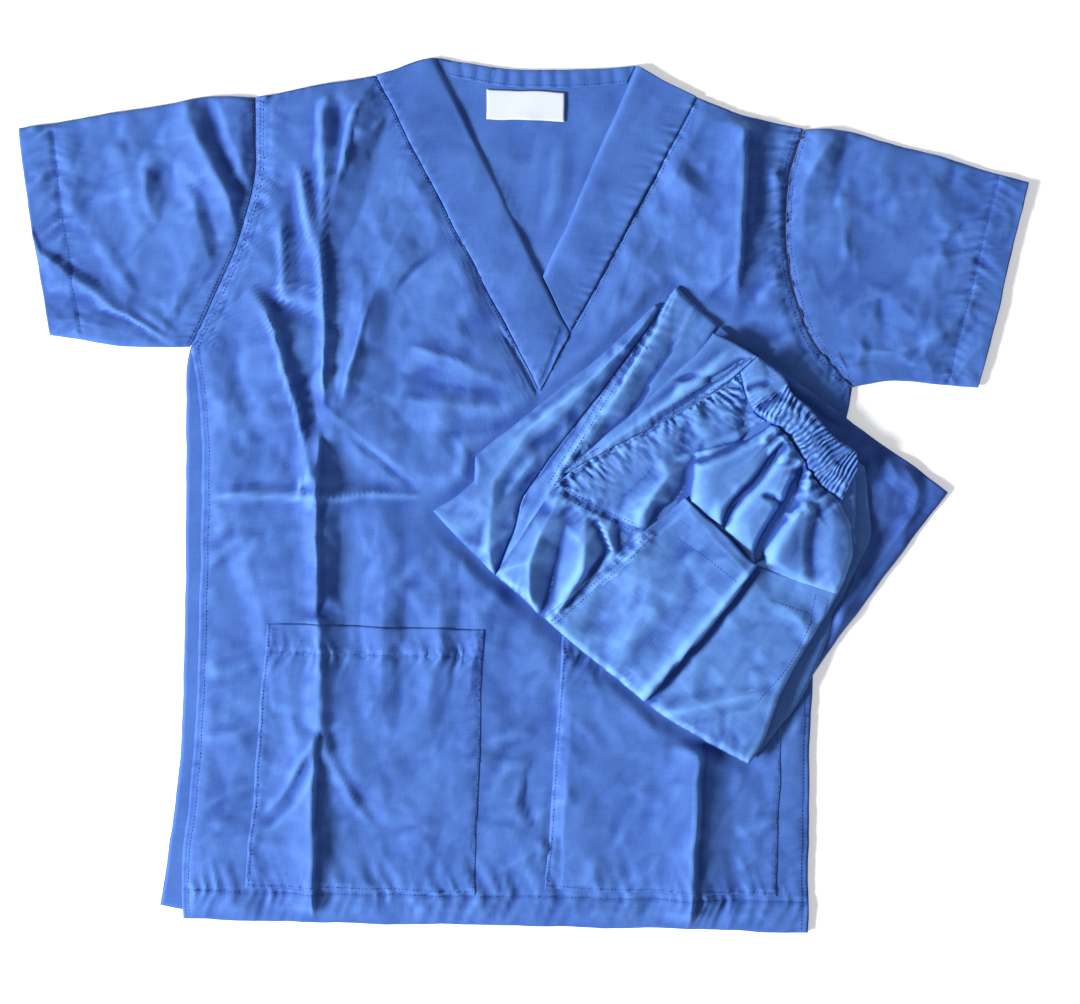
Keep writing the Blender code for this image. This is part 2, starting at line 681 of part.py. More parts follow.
# The hip pocket: where it is folded over itself, and the two halves of its opening.
POCKET_FOLD = ((103.0, -176.0), (198.5, -60.0))
POCKET_TOP_LEFT = (135.6, -1.3)
POCKET_LOW_LEFT = (16.5, -103.0)
POCKET_TOP_RIGHT = (275.0, -86.5)
POCKET_STEP = 3.0  # height and width of the step along the fold
POCKET_STEP_RUN = 70.0  # the folded half rises to the step over this distance


def make_hip_pocket(seat_skin):
    """The patch pocket on the hip; its left half is folded over its right half."""
    low, high = POCKET_FOLD
    left_half = skin_copy(seat_skin)
    cut_along(left_half, low, high)
    cut_along(left_half, high, POCKET_TOP_LEFT)
    cut_along(left_half, POCKET_TOP_LEFT, POCKET_LOW_LEFT)
    right_half = skin_copy(seat_skin)
    cut_along(right_half, high, low)
    cut_along(right_half, POCKET_TOP_RIGHT, high)
    bm = skin_copy(triangles_of(left_half) + triangles_of(right_half))
    run_x, run_y = (high[0] - low[0]) / distance(low, high), (high[1] - low[1]) / distance(low, high)
    step = (run_y * POCKET_STEP, -run_x * POCKET_STEP)
    cut_along(bm, *moved((low, high), *step), clear=False)
    for vert in bm.verts:
        beside = (vert.co.y - low[1]) * run_x - (vert.co.x - low[0]) * run_y  # positive on the left
        if beside > -POCKET_STEP / 2:
            vert.co.z += POCKET_STEP * max(0.0, 1 - max(beside, 0.0) / POCKET_STEP_RUN)
    lift_as_wall("trousers_pocket", bm)


WAISTBAND_GATHERS = 19
WAISTBAND_WALL = 3.0  # the casing with its elastic
GATHER_DEPTH = 1.6
WAISTBAND_RISE = 3.0  # how far its middle stands above its two edges


def make_waistband():
    """The elastic waistband: a casing drawn up into short gathers across its width."""
    along, across = 2 * WAISTBAND_GATHERS, 4
    seam = moved(curve(WAIST_SEAM, along), GAP, 2 * GAP)
    rows = patch(
        seam,
        curve(WAIST_TOP, along),
        spaced([seam[0], WAIST_TOP[0]], across),
        spaced([seam[-1], WAIST_TOP[-1]], across),
    )
    level = CORE_TOP + GAP + WAISTBAND_WALL
    heights = {}
    for j, row in enumerate(rows):
        arch = WAISTBAND_RISE * math.sin(math.pi * j / across)
        for i, point in enumerate(row):
            heights[point] = level + arch + GATHER_DEPTH * ((i + 1) % 2) * (1.0 + 0.3 * ((i + j) % 3))
    wall("trousers_waistband", rows, lambda x, y: heights[(x, y)], WAISTBAND_WALL)


def build():
    for old in list(bpy.data.objects):
        bpy.data.objects.remove(old)
    make_back()
    make_front_and_pockets()
    make_sleeves()
    make_neck()
    make_leg_end()
    make_leg_fold()
    make_under_leg()
    make_core()
    make_rise()
    make_hip_pocket(make_seat())
    make_waistband()


build()
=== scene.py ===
"""Looks of the medical scrubs set: a V-neck top laid flat with its folded trousers on it.

Every cloth piece is a thin shell over its CAD panel. Its outline comes from that panel's rim, and
its height from the creases, seams and hems written below, in millimetres.
"""

import math
from collections import namedtuple

import bmesh
import bpy
import numpy as np
from mathutils import Euler, Matrix, Vector
from mathutils.geometry import delaunay_2d_cdt


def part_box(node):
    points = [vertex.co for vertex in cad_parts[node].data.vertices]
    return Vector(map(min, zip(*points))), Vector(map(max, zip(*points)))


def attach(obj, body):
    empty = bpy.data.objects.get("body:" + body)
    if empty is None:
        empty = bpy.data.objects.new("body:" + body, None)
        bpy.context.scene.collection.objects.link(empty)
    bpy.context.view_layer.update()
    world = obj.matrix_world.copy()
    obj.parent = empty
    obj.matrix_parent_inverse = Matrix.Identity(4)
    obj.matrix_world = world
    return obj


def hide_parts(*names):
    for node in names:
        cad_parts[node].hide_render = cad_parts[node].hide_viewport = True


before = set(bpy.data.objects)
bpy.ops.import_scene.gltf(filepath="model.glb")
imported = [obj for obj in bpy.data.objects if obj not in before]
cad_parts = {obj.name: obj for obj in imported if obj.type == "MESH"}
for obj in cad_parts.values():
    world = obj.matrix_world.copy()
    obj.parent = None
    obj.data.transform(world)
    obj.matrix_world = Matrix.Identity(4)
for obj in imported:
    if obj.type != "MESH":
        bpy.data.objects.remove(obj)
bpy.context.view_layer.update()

MM = 0.001
SEED = 7

# ---- Heights of the stack, mm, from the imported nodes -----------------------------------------
def top_of(node):
    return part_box(node)[1][2] / MM


def foot_of(node):
    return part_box(node)[0][2] / MM


SKIN = 0.55  # wall of one cloth shell
CLEAR = 0.3  # what one sheet keeps above the sheet it lies on
BACK = top_of("top_back")
FRONT = BACK + 1.3
LEG_FOOT = foot_of("trousers_leg_back")
LEG_END_FOOT = foot_of("trousers_leg_end")
CORE_TOP = top_of("trousers_core")
SEAT = CORE_TOP + 3.0

# Hems and stitched rows, mm from the edge.
HEM = 25.0
SLEEVE_HEM = 27.0
POCKET_HEM = 24.0
LEG_HEM = 26.0
WAIST_WIDTH = 22.0


# ---- Lines and distances ---------------------------------------------------------------------
def unit(v):
    return v / np.maximum(np.linalg.norm(v, axis=-1, keepdims=True), 1e-12)


def marks_of(line):
    """Arc length at every point of a line."""
    return np.concatenate([[0.0], np.cumsum(np.linalg.norm(np.diff(line, axis=0), axis=1))])


def at(line, share):
    """Points at shares of the line's length."""
    marks = marks_of(line)
    want = np.asarray(share) * marks[-1]
    return np.stack([np.interp(want, marks, line[:, k]) for k in (0, 1)], axis=-1)


def even(line, count):
    """Points spread evenly along a line, both ends among them."""
    return at(line, np.linspace(0, 1, count))


def smooth_line(points, steps=8, corner=32.0):
    """A smooth curve through the points that stays sharp where they turn by more than `corner` degrees."""
    points = np.array(points, float)
    if len(points) < 3:
        return at(points, np.linspace(0, 1, steps + 1))
    runs, start = [], 0
    for i in range(1, len(points) - 1):
        a, b = unit(points[i] - points[i - 1]), unit(points[i + 1] - points[i])
        if np.dot(a, b) < math.cos(math.radians(corner)):
            runs.append(points[start : i + 1])
            start = i
    runs.append(points[start:])
    line = []
    for run in runs:
        marks = marks_of(run)
        slope = np.gradient(run, marks, axis=0) if len(run) > 2 else None
        for i in range(len(run) - 1):
            span = marks[i + 1] - marks[i]
            t = np.linspace(0, 1, steps, endpoint=False)[:, None]
            if slope is None:
                line.append(run[i] + (run[i + 1] - run[i]) * t)
                continue
            line.append(
                (2 * t**3 - 3 * t**2 + 1) * run[i]
                + (t**3 - 2 * t**2 + t) * slope[i] * span
                + (3 * t**2 - 2 * t**3) * run[i + 1]
                + (t**3 - t**2) * slope[i + 1] * span
            )
    line.append(points[-1:])
    return np.concatenate(line)


def beside(points, line):
    """Signed distance from a line, positive on its left, and the arc length of the nearest place."""
    marks = marks_of(line)
    best = np.full(len(points), 1e9)
    side = np.ones(len(points))
    arc = np.zeros(len(points))
    for i in range(len(line) - 1):
        run = line[i + 1] - line[i]
        length = marks[i + 1] - marks[i]
        if length < 1e-9:
            continue
        off = points - line[i]
        share = np.clip(off @ run / length**2, 0, 1)
        gap = np.linalg.norm(off - share[:, None] * run, axis=1)
        closer = gap < best - 1e-9
        best[closer] = gap[closer]
        arc[closer] = (marks[i] + share * length)[closer]
        side[closer] = np.where(run[0] * off[:, 1] - run[1] * off[:, 0] >= 0, 1.0, -1.0)[closer]
    return best * side, arc


def gap_to(points, line):
    return np.abs(beside(points, line)[0])


def shifted(line, by):
    """The line moved to its left by a distance."""
    run = unit(np.gradient(line, axis=0))
    return line + np.stack([-run[:, 1], run[:, 0]], axis=1) * by


def depth_in(points, loop):
    """Distance to a closed outline: positive inside it and negative outside."""
    ring = np.concatenate([loop, loop[:1]])
    gap = gap_to(points, ring)
    inside = np.zeros(len(points), bool)
    for a, b in zip(ring[:-1], ring[1:]):
        crosses = (a[1] > points[:, 1]) != (b[1] > points[:, 1])
        with np.errstate(divide="ignore", invalid="ignore"):
            at_x = a[0] + (points[:, 1] - a[1]) * (b[0] - a[0]) / (b[1] - a[1])
        inside ^= crosses & (points[:, 0] < at_x)
    return np.where(inside, gap, -gap)


def smooth(t):
    t = np.clip(t, 0, 1)
    return t * t * (3 - 2 * t)


# ---- Outlines of the CAD panels --------------------------------------------------------------
def rim(node):
    """The outline of a node's upper side seen from above, in mm, as an anticlockwise loop."""
    bm = bmesh.new()
    bm.from_mesh(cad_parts[node].data)
    bmesh.ops.remove_doubles(bm, verts=bm.verts, dist=1e-6)
    bm.normal_update()
    # One skin: what faces up and is joined to the highest faces.
    up = {face for face in bm.faces if face.normal.z > 0.05}
    seeds = sorted(up, key=lambda face: -face.calc_area())
    best = []
    while up:
        found, spread = set(), [next(face for face in seeds if face in up)]
        while spread:
            face = spread.pop()
            if face in up:
                up.remove(face)
                found.add(face)
                spread += [other for edge in face.edges for other in edge.link_faces if other in up]
        loop = edge_loop(found)
        if len(best) == 0 or area_of(loop) > area_of(best):
            best = loop
    bm.free()
    return best if turned_left(best) else best[::-1]


def edge_loop(faces):
    """The longest boundary loop of a set of faces, as points in mm."""
    after = {}
    for face in faces:
        for loop in face.loops:
            if not any(other in faces and other is not face for other in loop.edge.link_faces):
                after[loop.vert] = loop.link_loop_next.vert
    longest = []
    while after:
        vert = next(iter(after))
        ring = []
        while vert in after:
            ring.append((vert.co.x / MM, vert.co.y / MM))
            vert = after.pop(vert)
        if len(ring) > len(longest):
            longest = ring
    return np.array(longest)


def signed_area(loop):
    x, y = loop[:, 0], loop[:, 1]
    return 0.5 * float(np.sum(x * np.roll(y, -1) - y * np.roll(x, -1)))


def area_of(loop):
    return abs(signed_area(loop))


def turned_left(loop):
    return signed_area(loop) > 0


def four_sides(node, low_left, low_right, up_right, up_left):
    """A panel's rim cut at four corners, each the farthest point in a direction.

    It gives bottom and top, which run left to right, and left and right, which go up.
    """
    loop = rim(node)
    found = [int(np.argmax(loop @ np.array(way, float))) for way in (low_left, low_right, up_right, up_left)]

    def stretch(a, b):
        ids = [a]
        while ids[-1] != b:
            ids.append((ids[-1] + 1) % len(loop))
        return smooth_line(loop[ids])

    a, b, c, d = found
    return stretch(a, b), stretch(c, d)[::-1], stretch(d, a)[::-1], stretch(b, c)


def fill(sides, u, v):
    """Points between four sides (a Coons patch), at shares u across and v up."""
    bottom, top, left, right = sides
    low, high, start, end = at(bottom, u), at(top, u), at(left, v), at(right, v)
    u, v = u[:, None], v[:, None]
    corners = (
        (1 - u) * (1 - v) * bottom[0] + u * (1 - v) * bottom[-1] + (1 - u) * v * top[0] + u * v * top[-1]
    )
    return (1 - v) * low + v * high + (1 - u) * start + u * end - corners


def outline_of(sides, steps=36):
    """The closed outline of four sides, coarse enough to measure distances from."""
    share = np.linspace(0, 1, steps + 1)
    bottom, top, left, right = (at(side, share) for side in sides)
    return np.concatenate([bottom[:-1], right[:-1], top[:0:-1], left[:0:-1]])


# ---- Creases, crumples, seams ----------------------------------------------------------------
# A fold's crest follows its points and stands `height` mm above the cloth; it falls away over
# `left` and `right` mm. crisp is 1 for a pressed crease and 0 for a soft wave, and `fade` is the
# share of its length over which each end dies out. A negative height is a trough.
Fold = namedtuple("Fold", "height left right crisp fade points")
WAVERING = 0.9  # how far a crease strays from its points, mm


def profile(t, crisp):
    """A fold's cross-section: 1 at its crest and 0 at t = 1 beside it."""
    t = np.clip(t, 0, 1)
    soft = 0.5 + 0.5 * np.cos(np.pi * t)
    return soft + ((1 - t) ** 1.3 - soft) * crisp


def folds_height(points, folds):
    """The heights of all the folds, added up."""
    z = np.zeros(len(points))
    points = points + WAVERING * drift(points, 21, 201)
    for fold in folds:
        line = smooth_line(fold.points, steps=5, corner=180)
        reach = max(fold.left, fold.right)
        near = np.all((points > line.min(0) - reach) & (points < line.max(0) + reach), axis=1)
        if not near.any():
            continue
        gap, arc = beside(points[near], line)
        length = marks_of(line)[-1]
        ends = smooth(arc / (fold.fade * length)) * smooth((length - arc) / (fold.fade * length))
        width = np.where(gap > 0, fold.left, fold.right) * (0.35 + 0.65 * ends)
        z[near] += fold.height * ends * profile(np.abs(gap) / width, fold.crisp)
    return z


def crumples(box, count, seed, length, width, height, angle, spread):
    """Small random creases over a box: their lengths, widths and heights are ranges in mm."""
    rng = np.random.default_rng(SEED * 100 + seed)
    (x0, y0), (x1, y1) = box
    made = []
    for _ in range(count):
        middle = np.array([rng.uniform(x0, x1), rng.uniform(y0, y1)])
        way = math.radians(rng.normal(angle, spread))
        half = 0.5 * rng.uniform(*length) * np.array([math.cos(way), math.sin(way)])
        bend = rng.normal(0, 0.12) * np.array([-half[1], half[0]])
        size = rng.uniform(*height) * rng.choice([-1, 1], p=[0.4, 0.6])
        sides = rng.uniform(*width, 2)
        made.append(Fold(size, sides[0], sides[1], rng.uniform(0.2, 0.9), 0.42,
                         (middle - half, middle + bend, middle + half)))
    return made


CORNERS = 64  # how many cells each way a noise has before it repeats


def waves(points, size, seed, stretch=1.0, angle=0.0):
    """Smooth gradient noise from about -1 to 1, longer by `stretch` along an angle in degrees."""
    way = math.radians(angle)
    along = points @ np.array([math.cos(way), math.sin(way)]) / (size * stretch)
    across = points @ np.array([-math.sin(way), math.cos(way)]) / size
    table = np.random.default_rng(SEED * 1000 + seed).random((CORNERS, CORNERS)) * 2 * np.pi
    i, j = np.floor(along).astype(int), np.floor(across).astype(int)
    fx, fy = along - i, across - j

    def corner(di, dj):
        turn = table[(i + di) % CORNERS, (j + dj) % CORNERS]
        return np.cos(turn) * (fx - di) + np.sin(turn) * (fy - dj)

    sx, sy = (f * f * f * (f * (f * 6 - 15) + 10) for f in (fx, fy))
    low = corner(0, 0) + (corner(1, 0) - corner(0, 0)) * sx
    high = corner(0, 1) + (corner(1, 1) - corner(0, 1)) * sx
    return 1.5 * (low + (high - low) * sy)


def drift(points, size, seed):
    """A wave each way, to shift points by, so that straight lines come out wavering."""
    return np.stack([waves(points, size, seed), waves(points, size, seed + 1)], axis=1)


TRIANGLE_ROW = math.sin(math.radians(60))  # height of an equal-sided triangle over its side


def facets(points, size, seed, stretch=1.0, angle=0.0):
    """Flat facets that meet in sharp creases.

    Heights from -1 to 1 stand at random at the corners of bent triangles.
    """
    bent = points + 0.45 * size * drift(points, size * 1.7, seed + 5)
    way = math.radians(angle)
    along = bent @ np.array([math.cos(way), math.sin(way)]) / (size * stretch)
    across = bent @ np.array([-math.sin(way), math.cos(way)]) / (size * TRIANGLE_ROW)
    along = along - across / 2
    table = np.random.default_rng(SEED * 1000 + seed).uniform(-1, 1, (CORNERS, CORNERS))
    i, j = np.floor(along).astype(int), np.floor(across).astype(int)
    u, v = along - i, across - j
    height = [table[(i + di) % CORNERS, (j + dj) % CORNERS] for di, dj in ((0, 0), (1, 0), (0, 1), (1, 1))]
    low = height[0] + u * (height[1] - height[0]) + v * (height[2] - height[0])
    high = height[3] + (1 - u) * (height[2] - height[3]) + (1 - v) * (height[1] - height[3])
    return np.where(u + v < 1, low, high)


# A ridge or a valley between flat facets: its height in mm at each of its points.
Break = namedtuple("Break", "heights points")


def breaks_height(points, breaks):
    """Heights of the flat triangles that join a table of breaks; zero outside them."""
    points = points + WAVERING * drift(points, 17, 203)
    corners, heights, edges = [], [], []
    for line in breaks:
        start = len(corners)
        corners += [Vector(point) for point in line.points]
        heights += line.heights
        edges += [(k, k + 1) for k in range(start, len(corners) - 1)]
    found, _, triangles, origins, _, _ = delaunay_2d_cdt(corners, edges, [], 0, 1e-3)
    place = np.array([tuple(point) for point in found])
    level = np.array([heights[origin[0]] if origin else 0.0 for origin in origins])
    z = np.zeros(len(points))
    for a, b, c in triangles:
        (ax, ay), (bx, by), (cx, cy) = place[a], place[b], place[c]
        twice = (bx - ax) * (cy - ay) - (cx - ax) * (by - ay)
        to_b = ((points[:, 0] - ax) * (cy - ay) - (cx - ax) * (points[:, 1] - ay)) / twice
        to_c = ((bx - ax) * (points[:, 1] - ay) - (points[:, 0] - ax) * (by - ay)) / twice
        inside = (to_b >= 0) & (to_c >= 0) & (to_b + to_c <= 1)
        flat = level[a] + to_b * (level[b] - level[a]) + to_c * (level[c] - level[a])
        z[inside] = flat[inside]
    return z


# A seam: a groove of a depth and width along a line, and the puckers that its thread has drawn up
# on both sides, with their height, their pitch along it and their reach away from it, all in mm.
Seam = namedtuple("Seam", "line groove width pucker pitch reach seed")


def seams_height(points, seams):
    """The grooves and puckers of all the seams, added up."""
    z = np.zeros(len(points))
    for seam in seams:
        reach = seam.reach * 3
        near = np.all((points > seam.line.min(0) - reach) & (points < seam.line.max(0) + reach), axis=1)
        if not near.any():
            continue
        gap, arc = beside(points[near], seam.line)
        lean = np.stack([arc + 0.35 * np.abs(gap), 3.7 + 0.25 * gap], axis=1)
        drawn = 2.0 - 3.0 * np.abs(waves(lean, seam.pitch, seam.seed))
        drawn += 0.7 * waves(lean, seam.pitch * 0.45, seam.seed + 1) - 1.2
        fading = np.clip(waves(lean, seam.pitch * 6, seam.seed + 2) * 0.7 + 0.75, 0.15, 1.4)
        z[near] += -seam.groove * np.exp(-((gap / seam.width) ** 2))
        z[near] += seam.pucker * fading * drawn * np.exp(-np.abs(gap) / seam.reach)
    return z


def rounded(depth, radius):
    """0 at an edge and 1 at `radius` inside it, on a quarter round."""
    t = np.clip(depth / radius, 0, 1)
    return np.sqrt(np.maximum(1 - (1 - t) ** 2, 0))


# ---- Shells ----------------------------------------------------------------------------------
def new_object(name, bm):
    mesh = bpy.data.meshes.new(name)
    bm.to_mesh(mesh)
    bm.free()
    made = bpy.data.objects.new(name, mesh)
    bpy.context.scene.collection.objects.link(made)
    return made


def crowd(share, amount, spots=()):
    """Shares moved so that cells are narrower along both edges and about the spots (centre, width)."""
    fine = np.linspace(0, 1, 400)
    dense = 1 + amount * np.cos(2 * np.pi * fine) ** 2 * (np.abs(fine - 0.5) > 0.25)
    for centre, width in spots:
        dense += 1.6 * np.exp(-(((fine - centre) / width) ** 2))
    marks = np.concatenate([[0], np.cumsum((dense[1:] + dense[:-1]) / 2)])
    return np.interp(share * marks[-1], marks, fine)


def grid_coords(mesh):
    co = np.empty(len(mesh.vertices) * 3)
    mesh.vertices.foreach_get("co", co)
    return co.reshape(-1, 3)


def relaxed(points):
    """The points moved a little, so that no edge is ruled; pieces that meet move together."""
    return points + (1.2 * drift(points, 47, 211) + 0.35 * drift(points, 16, 213))


def set_coords(mesh, points, z):
    co = np.column_stack([relaxed(points) * MM, z * MM]).ravel()
    mesh.vertices.foreach_set("co", co)
    mesh.update()


SHADING_REACH = 4.5  # mm over which a crest or a hollow is told from the cloth beside it, for its painted shading
SHADING_SPAN = 1.3  # mm above or below its surroundings at which a crest is painted palest and a hollow darkest, as highlight and shade


def blurred(grid, reach):
    """A grid of heights averaged over `reach` cells each way along its rows."""
    wide = np.pad(grid, ((0, 0), (2 * reach, 2 * reach)), mode="edge")
    for _ in range(2):
        total = np.cumsum(np.pad(wide, ((0, 0), (1, 0))), axis=1)
        wide = (total[:, 2 * reach + 1:] - total[:, :-2 * reach - 1]) / (2 * reach + 1)
        wide = np.pad(wide, ((0, 0), (reach, reach)), mode="edge")
    return wide[:, 2 * reach:-2 * reach]


def paint_crease_shading(mesh, points, z, row):
    """Store each point's painted shading as its fade attribute: crests are painted pale as a highlight, and
    hollows dark as shade.
    """
    grid, xy = z.reshape(-1, row), points.reshape(-1, row, 2)
    step_x = np.linalg.norm(np.diff(xy, axis=1), axis=2).mean()
    step_y = np.linalg.norm(np.diff(xy, axis=0), axis=2).mean()
    flat = blurred(grid, max(int(SHADING_REACH / step_x), 1))
    flat = blurred(flat.T, max(int(SHADING_REACH / step_y), 1)).T
    fade = np.clip(0.5 + (grid - flat).ravel() / (2 * SHADING_SPAN), 0, 1)
    mesh.attributes.new("fade", "FLOAT", "POINT").data.foreach_set("value", fade)


EDGE_CROWD = 0.8  # how much narrower cells get along a sheet's edges,
FOLD_CROWD, END_CROWD = 1.2, 0.6  # along a tube's folds, and towards its ends


def lay(name, sides, cells, height, wall=SKIN, spots=()):
    """A cloth shell over four sides, with its upper face at `height`."""
    bm = bmesh.new()
    bmesh.ops.create_grid(bm, x_segments=cells[0], y_segments=cells[1], size=0.5)
    made = new_object(name, bm)
    uv = grid_coords(made.data)[:, :2] + 0.5
    points = fill(sides, crowd(uv[:, 0], EDGE_CROWD, spots), crowd(uv[:, 1], EDGE_CROWD))
    z = height(points)
    set_coords(made.data, points, z)
    paint_crease_shading(made.data, points, z, cells[0] + 1)
    return finish_shell(made, wall)


def lay_tube(name, sides, cells, upper, lower, round_off=6.0, closed=False):
    """A flattened tube whose two folds lie along the patch's bottom and top sides.

    A closed one is sewn or folded shut at its other two sides as well.
    """
    bm = bmesh.new()
    bmesh.ops.create_grid(bm, x_segments=cells[0], y_segments=2 * cells[1], size=0.5)
    made = new_object(name, bm)
    uv = grid_coords(made.data)[:, :2] + 0.5
    around = uv[:, 1] * 2
    on_top = around <= 1.0 + 1e-6
    v = crowd(np.where(on_top, around, 2 - around), FOLD_CROWD)
    u = crowd(uv[:, 0], END_CROWD)
    points = fill(sides, u, v)
    wide = np.linalg.norm(at(sides[1], u) - at(sides[0], u), axis=1)
    open_up = rounded(np.minimum(v, 1 - v) * wide, round_off)
    if closed:
        long = np.linalg.norm(at(sides[3], v) - at(sides[2], v), axis=1)
        open_up = np.minimum(open_up, rounded(np.minimum(u, 1 - u) * long, round_off))
    high, low = upper(points), lower(points)
    middle = (high + low) / 2
    half = (high - low) / 2 * open_up
    set_coords(made.data, points, np.where(on_top, middle + half, middle - half))
    paint_crease_shading(made.data, points, high, cells[0] + 1)
    bm = bmesh.new()
    bm.from_mesh(made.data)
    ends = [vert for vert in bm.verts if vert.is_boundary or closed]
    bmesh.ops.remove_doubles(bm, verts=ends, dist=2e-6)
    bmesh.ops.recalc_face_normals(bm, faces=bm.faces)
    bm.to_mesh(made.data)
    bm.free()
    if closed:
        made.data.shade_smooth()
        return made
    return finish_shell(made, SKIN)


def finish_shell(made, wall):
    made.data.shade_smooth()
    skin = made.modifiers.new("wall", "SOLIDIFY")
    skin.thickness = wall * MM
    skin.offset = -1
    skin.use_even_offset = False
    return made


def register(made, nodes, material):
    """Dress a piece in its material, hang it on the root, and hide the CAD nodes it replaces."""
    made.data.materials.append(material)
    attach(made, "root")
    if nodes:
        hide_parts(*nodes)


# ---- Stitches --------------------------------------------------------------------------------
STITCH_PITCH = 3.1
STITCH_LONG, STITCH_WIDE, STITCH_HIGH = 2.4, 0.75, 0.5
STITCH_LIFT = 0.1  # how far a stitch's middle stands above the cloth
ROW_INSET = 2.0  # what a row leaves free at each end
stitch_bm = bmesh.new()


def stitch(line, height):
    """A row of stitches along a line, lying on a height function."""
    length = marks_of(line)[-1]
    count = max(int((length - 2 * ROW_INSET) / STITCH_PITCH), 1)
    arc = (ROW_INSET + STITCH_PITCH * (np.arange(count) + 0.5)) / length
    arc = arc[arc < 1]
    middle = at(line, arc)
    half = STITCH_LONG / 2 / length
    start, end = at(line, np.clip(arc - half, 0, 1)), at(line, np.clip(arc + half, 0, 1))
    z = [height(p) for p in (start, middle, end)]
    start, middle, end = relaxed(start), relaxed(middle), relaxed(end)
    rng = np.random.default_rng(int(length * 10) + SEED)
    for i in range(len(arc)):
        run = Vector((*(end[i] - start[i]), z[2][i] - z[0][i]))
        turn = run.to_track_quat("X", "Z").to_matrix().to_4x4()
        turn = turn @ Euler((0, 0, rng.normal(0, 0.05))).to_matrix().to_4x4()
        place = Matrix.Translation(Vector((*middle[i], z[1][i] + STITCH_LIFT)) * MM)
        size = Matrix.Diagonal((STITCH_LONG / 2 * MM, STITCH_WIDE / 2 * MM, STITCH_HIGH / 2 * MM, 1))
        bmesh.ops.create_icosphere(stitch_bm, subdivisions=1, radius=1, matrix=place @ turn @ size)


# ---- Materials -------------------------------------------------------------------------------
def add_node(tree, kind, inputs, **settings):
    """A shader node whose inputs are values, or sockets of other nodes that it reads."""
    made = tree.nodes.new("ShaderNode" + kind)
    for name, value in settings.items():
        setattr(made, name, value)
    for name, value in inputs.items():
        if isinstance(value, bpy.types.NodeSocket):
            tree.links.new(value, made.inputs[name])
        else:
            made.inputs[name].default_value = value
    return made


def math_of(tree, operation, *terms):
    return add_node(tree, "Math", dict(enumerate(terms)), operation=operation).outputs[0]


def node_group(name, inputs, outputs):
    group = bpy.data.node_groups.new(name, "ShaderNodeTree")
    for label, kind, value in inputs:
        socket = group.interface.new_socket(label, in_out="INPUT", socket_type=kind)
        if value is not None:
            socket.default_value = value
    for label in outputs:
        group.interface.new_socket(label, in_out="OUTPUT", socket_type="NodeSocketFloat")
    return group, group.nodes.new("NodeGroupInput").outputs, group.nodes.new("NodeGroupOutput").inputs


THREAD = 0.00045  # pitch of the cloth's threads, m
THREAD_SHARE = 0.25  # how high a thread stands, and how much its slubs shade it
SLUBS_ALONG, SLUBS_ACROSS = (60.0, 900.0, 1.0), (900.0, 90.0, 1.0)


def make_weave_group():
    """A plain weave with slubs, as a height for bump and a shade for the colour."""
    group, given, out = node_group(
        "plain_weave",
        [("Vector", "NodeSocketVector", None), ("Thread", "NodeSocketFloat", THREAD)],
        ["Height", "Shade"],
    )
    turns = math_of(group, "DIVIDE", math.pi, given["Thread"])
    sized = add_node(group, "VectorMath", {0: given["Vector"], "Scale": turns}, operation="SCALE")
    axes = add_node(group, "SeparateXYZ", {0: sized.outputs[0]}).outputs
    warp, weft = (math_of(group, "SINE", axes[axis]) for axis in "XY")
    slubs = []
    for stretch in (SLUBS_ALONG, SLUBS_ACROSS):
        mapped = add_node(group, "Mapping", {"Vector": given["Vector"], "Scale": stretch})
        noise = add_node(group, "TexNoise", {"Vector": mapped.outputs[0], "Scale": 1.0, "Detail": 3.0})
        slubs.append(noise.outputs["Fac"])
    shade = math_of(group, "ADD", *slubs)
    woven = math_of(group, "MULTIPLY", warp, weft)
    group.links.new(shade, out["Shade"])
    group.links.new(math_of(group, "MULTIPLY_ADD", woven, THREAD_SHARE, shade), out["Height"])
    return group


def make_noise_group(name, result, size, look, **settings):
    """A noise over the cloth, as one value."""
    group, given, out = node_group(
        name,
        [("Vector", "NodeSocketVector", None), ("Size", "NodeSocketFloat", size)],
        [result],
    )
    inputs = {"Vector": given["Vector"], "Scale": given["Size"], **look}
    group.links.new(add_node(group, "TexNoise", inputs, **settings).outputs["Fac"], out[result])
    return group


weave_group = make_weave_group()
# Broad uneven dye, and the fine handling creases between the modelled ones.
dye_group = make_noise_group("uneven_dye", "Value", 14.0, {"Detail": 4.0, "Roughness": 0.55})
crease_group = make_noise_group("fine_creases", "Height", 30.0,
                                {"Detail": 3.0, "Roughness": 0.5, "Distortion": 0.3},
                                noise_type="RIDGED_MULTIFRACTAL", normalize=True)

DYE_FROM, DYE_TO = 0.34, 1.52  # dye and weave together where the cloth is darkest and palest
ROUGHER, SMOOTHER = 0.08, 0.05  # how far the dye moves the cloth's roughness each way
CREASE_BUMP, CREASE_DEEP = 0.35, 0.004
THREAD_DEEP = 0.0002
SPECULAR = 0.12
SHEEN_ROUGHNESS, SHEEN_TINT = 0.45, (0.55, 0.72, 1.0, 1.0)


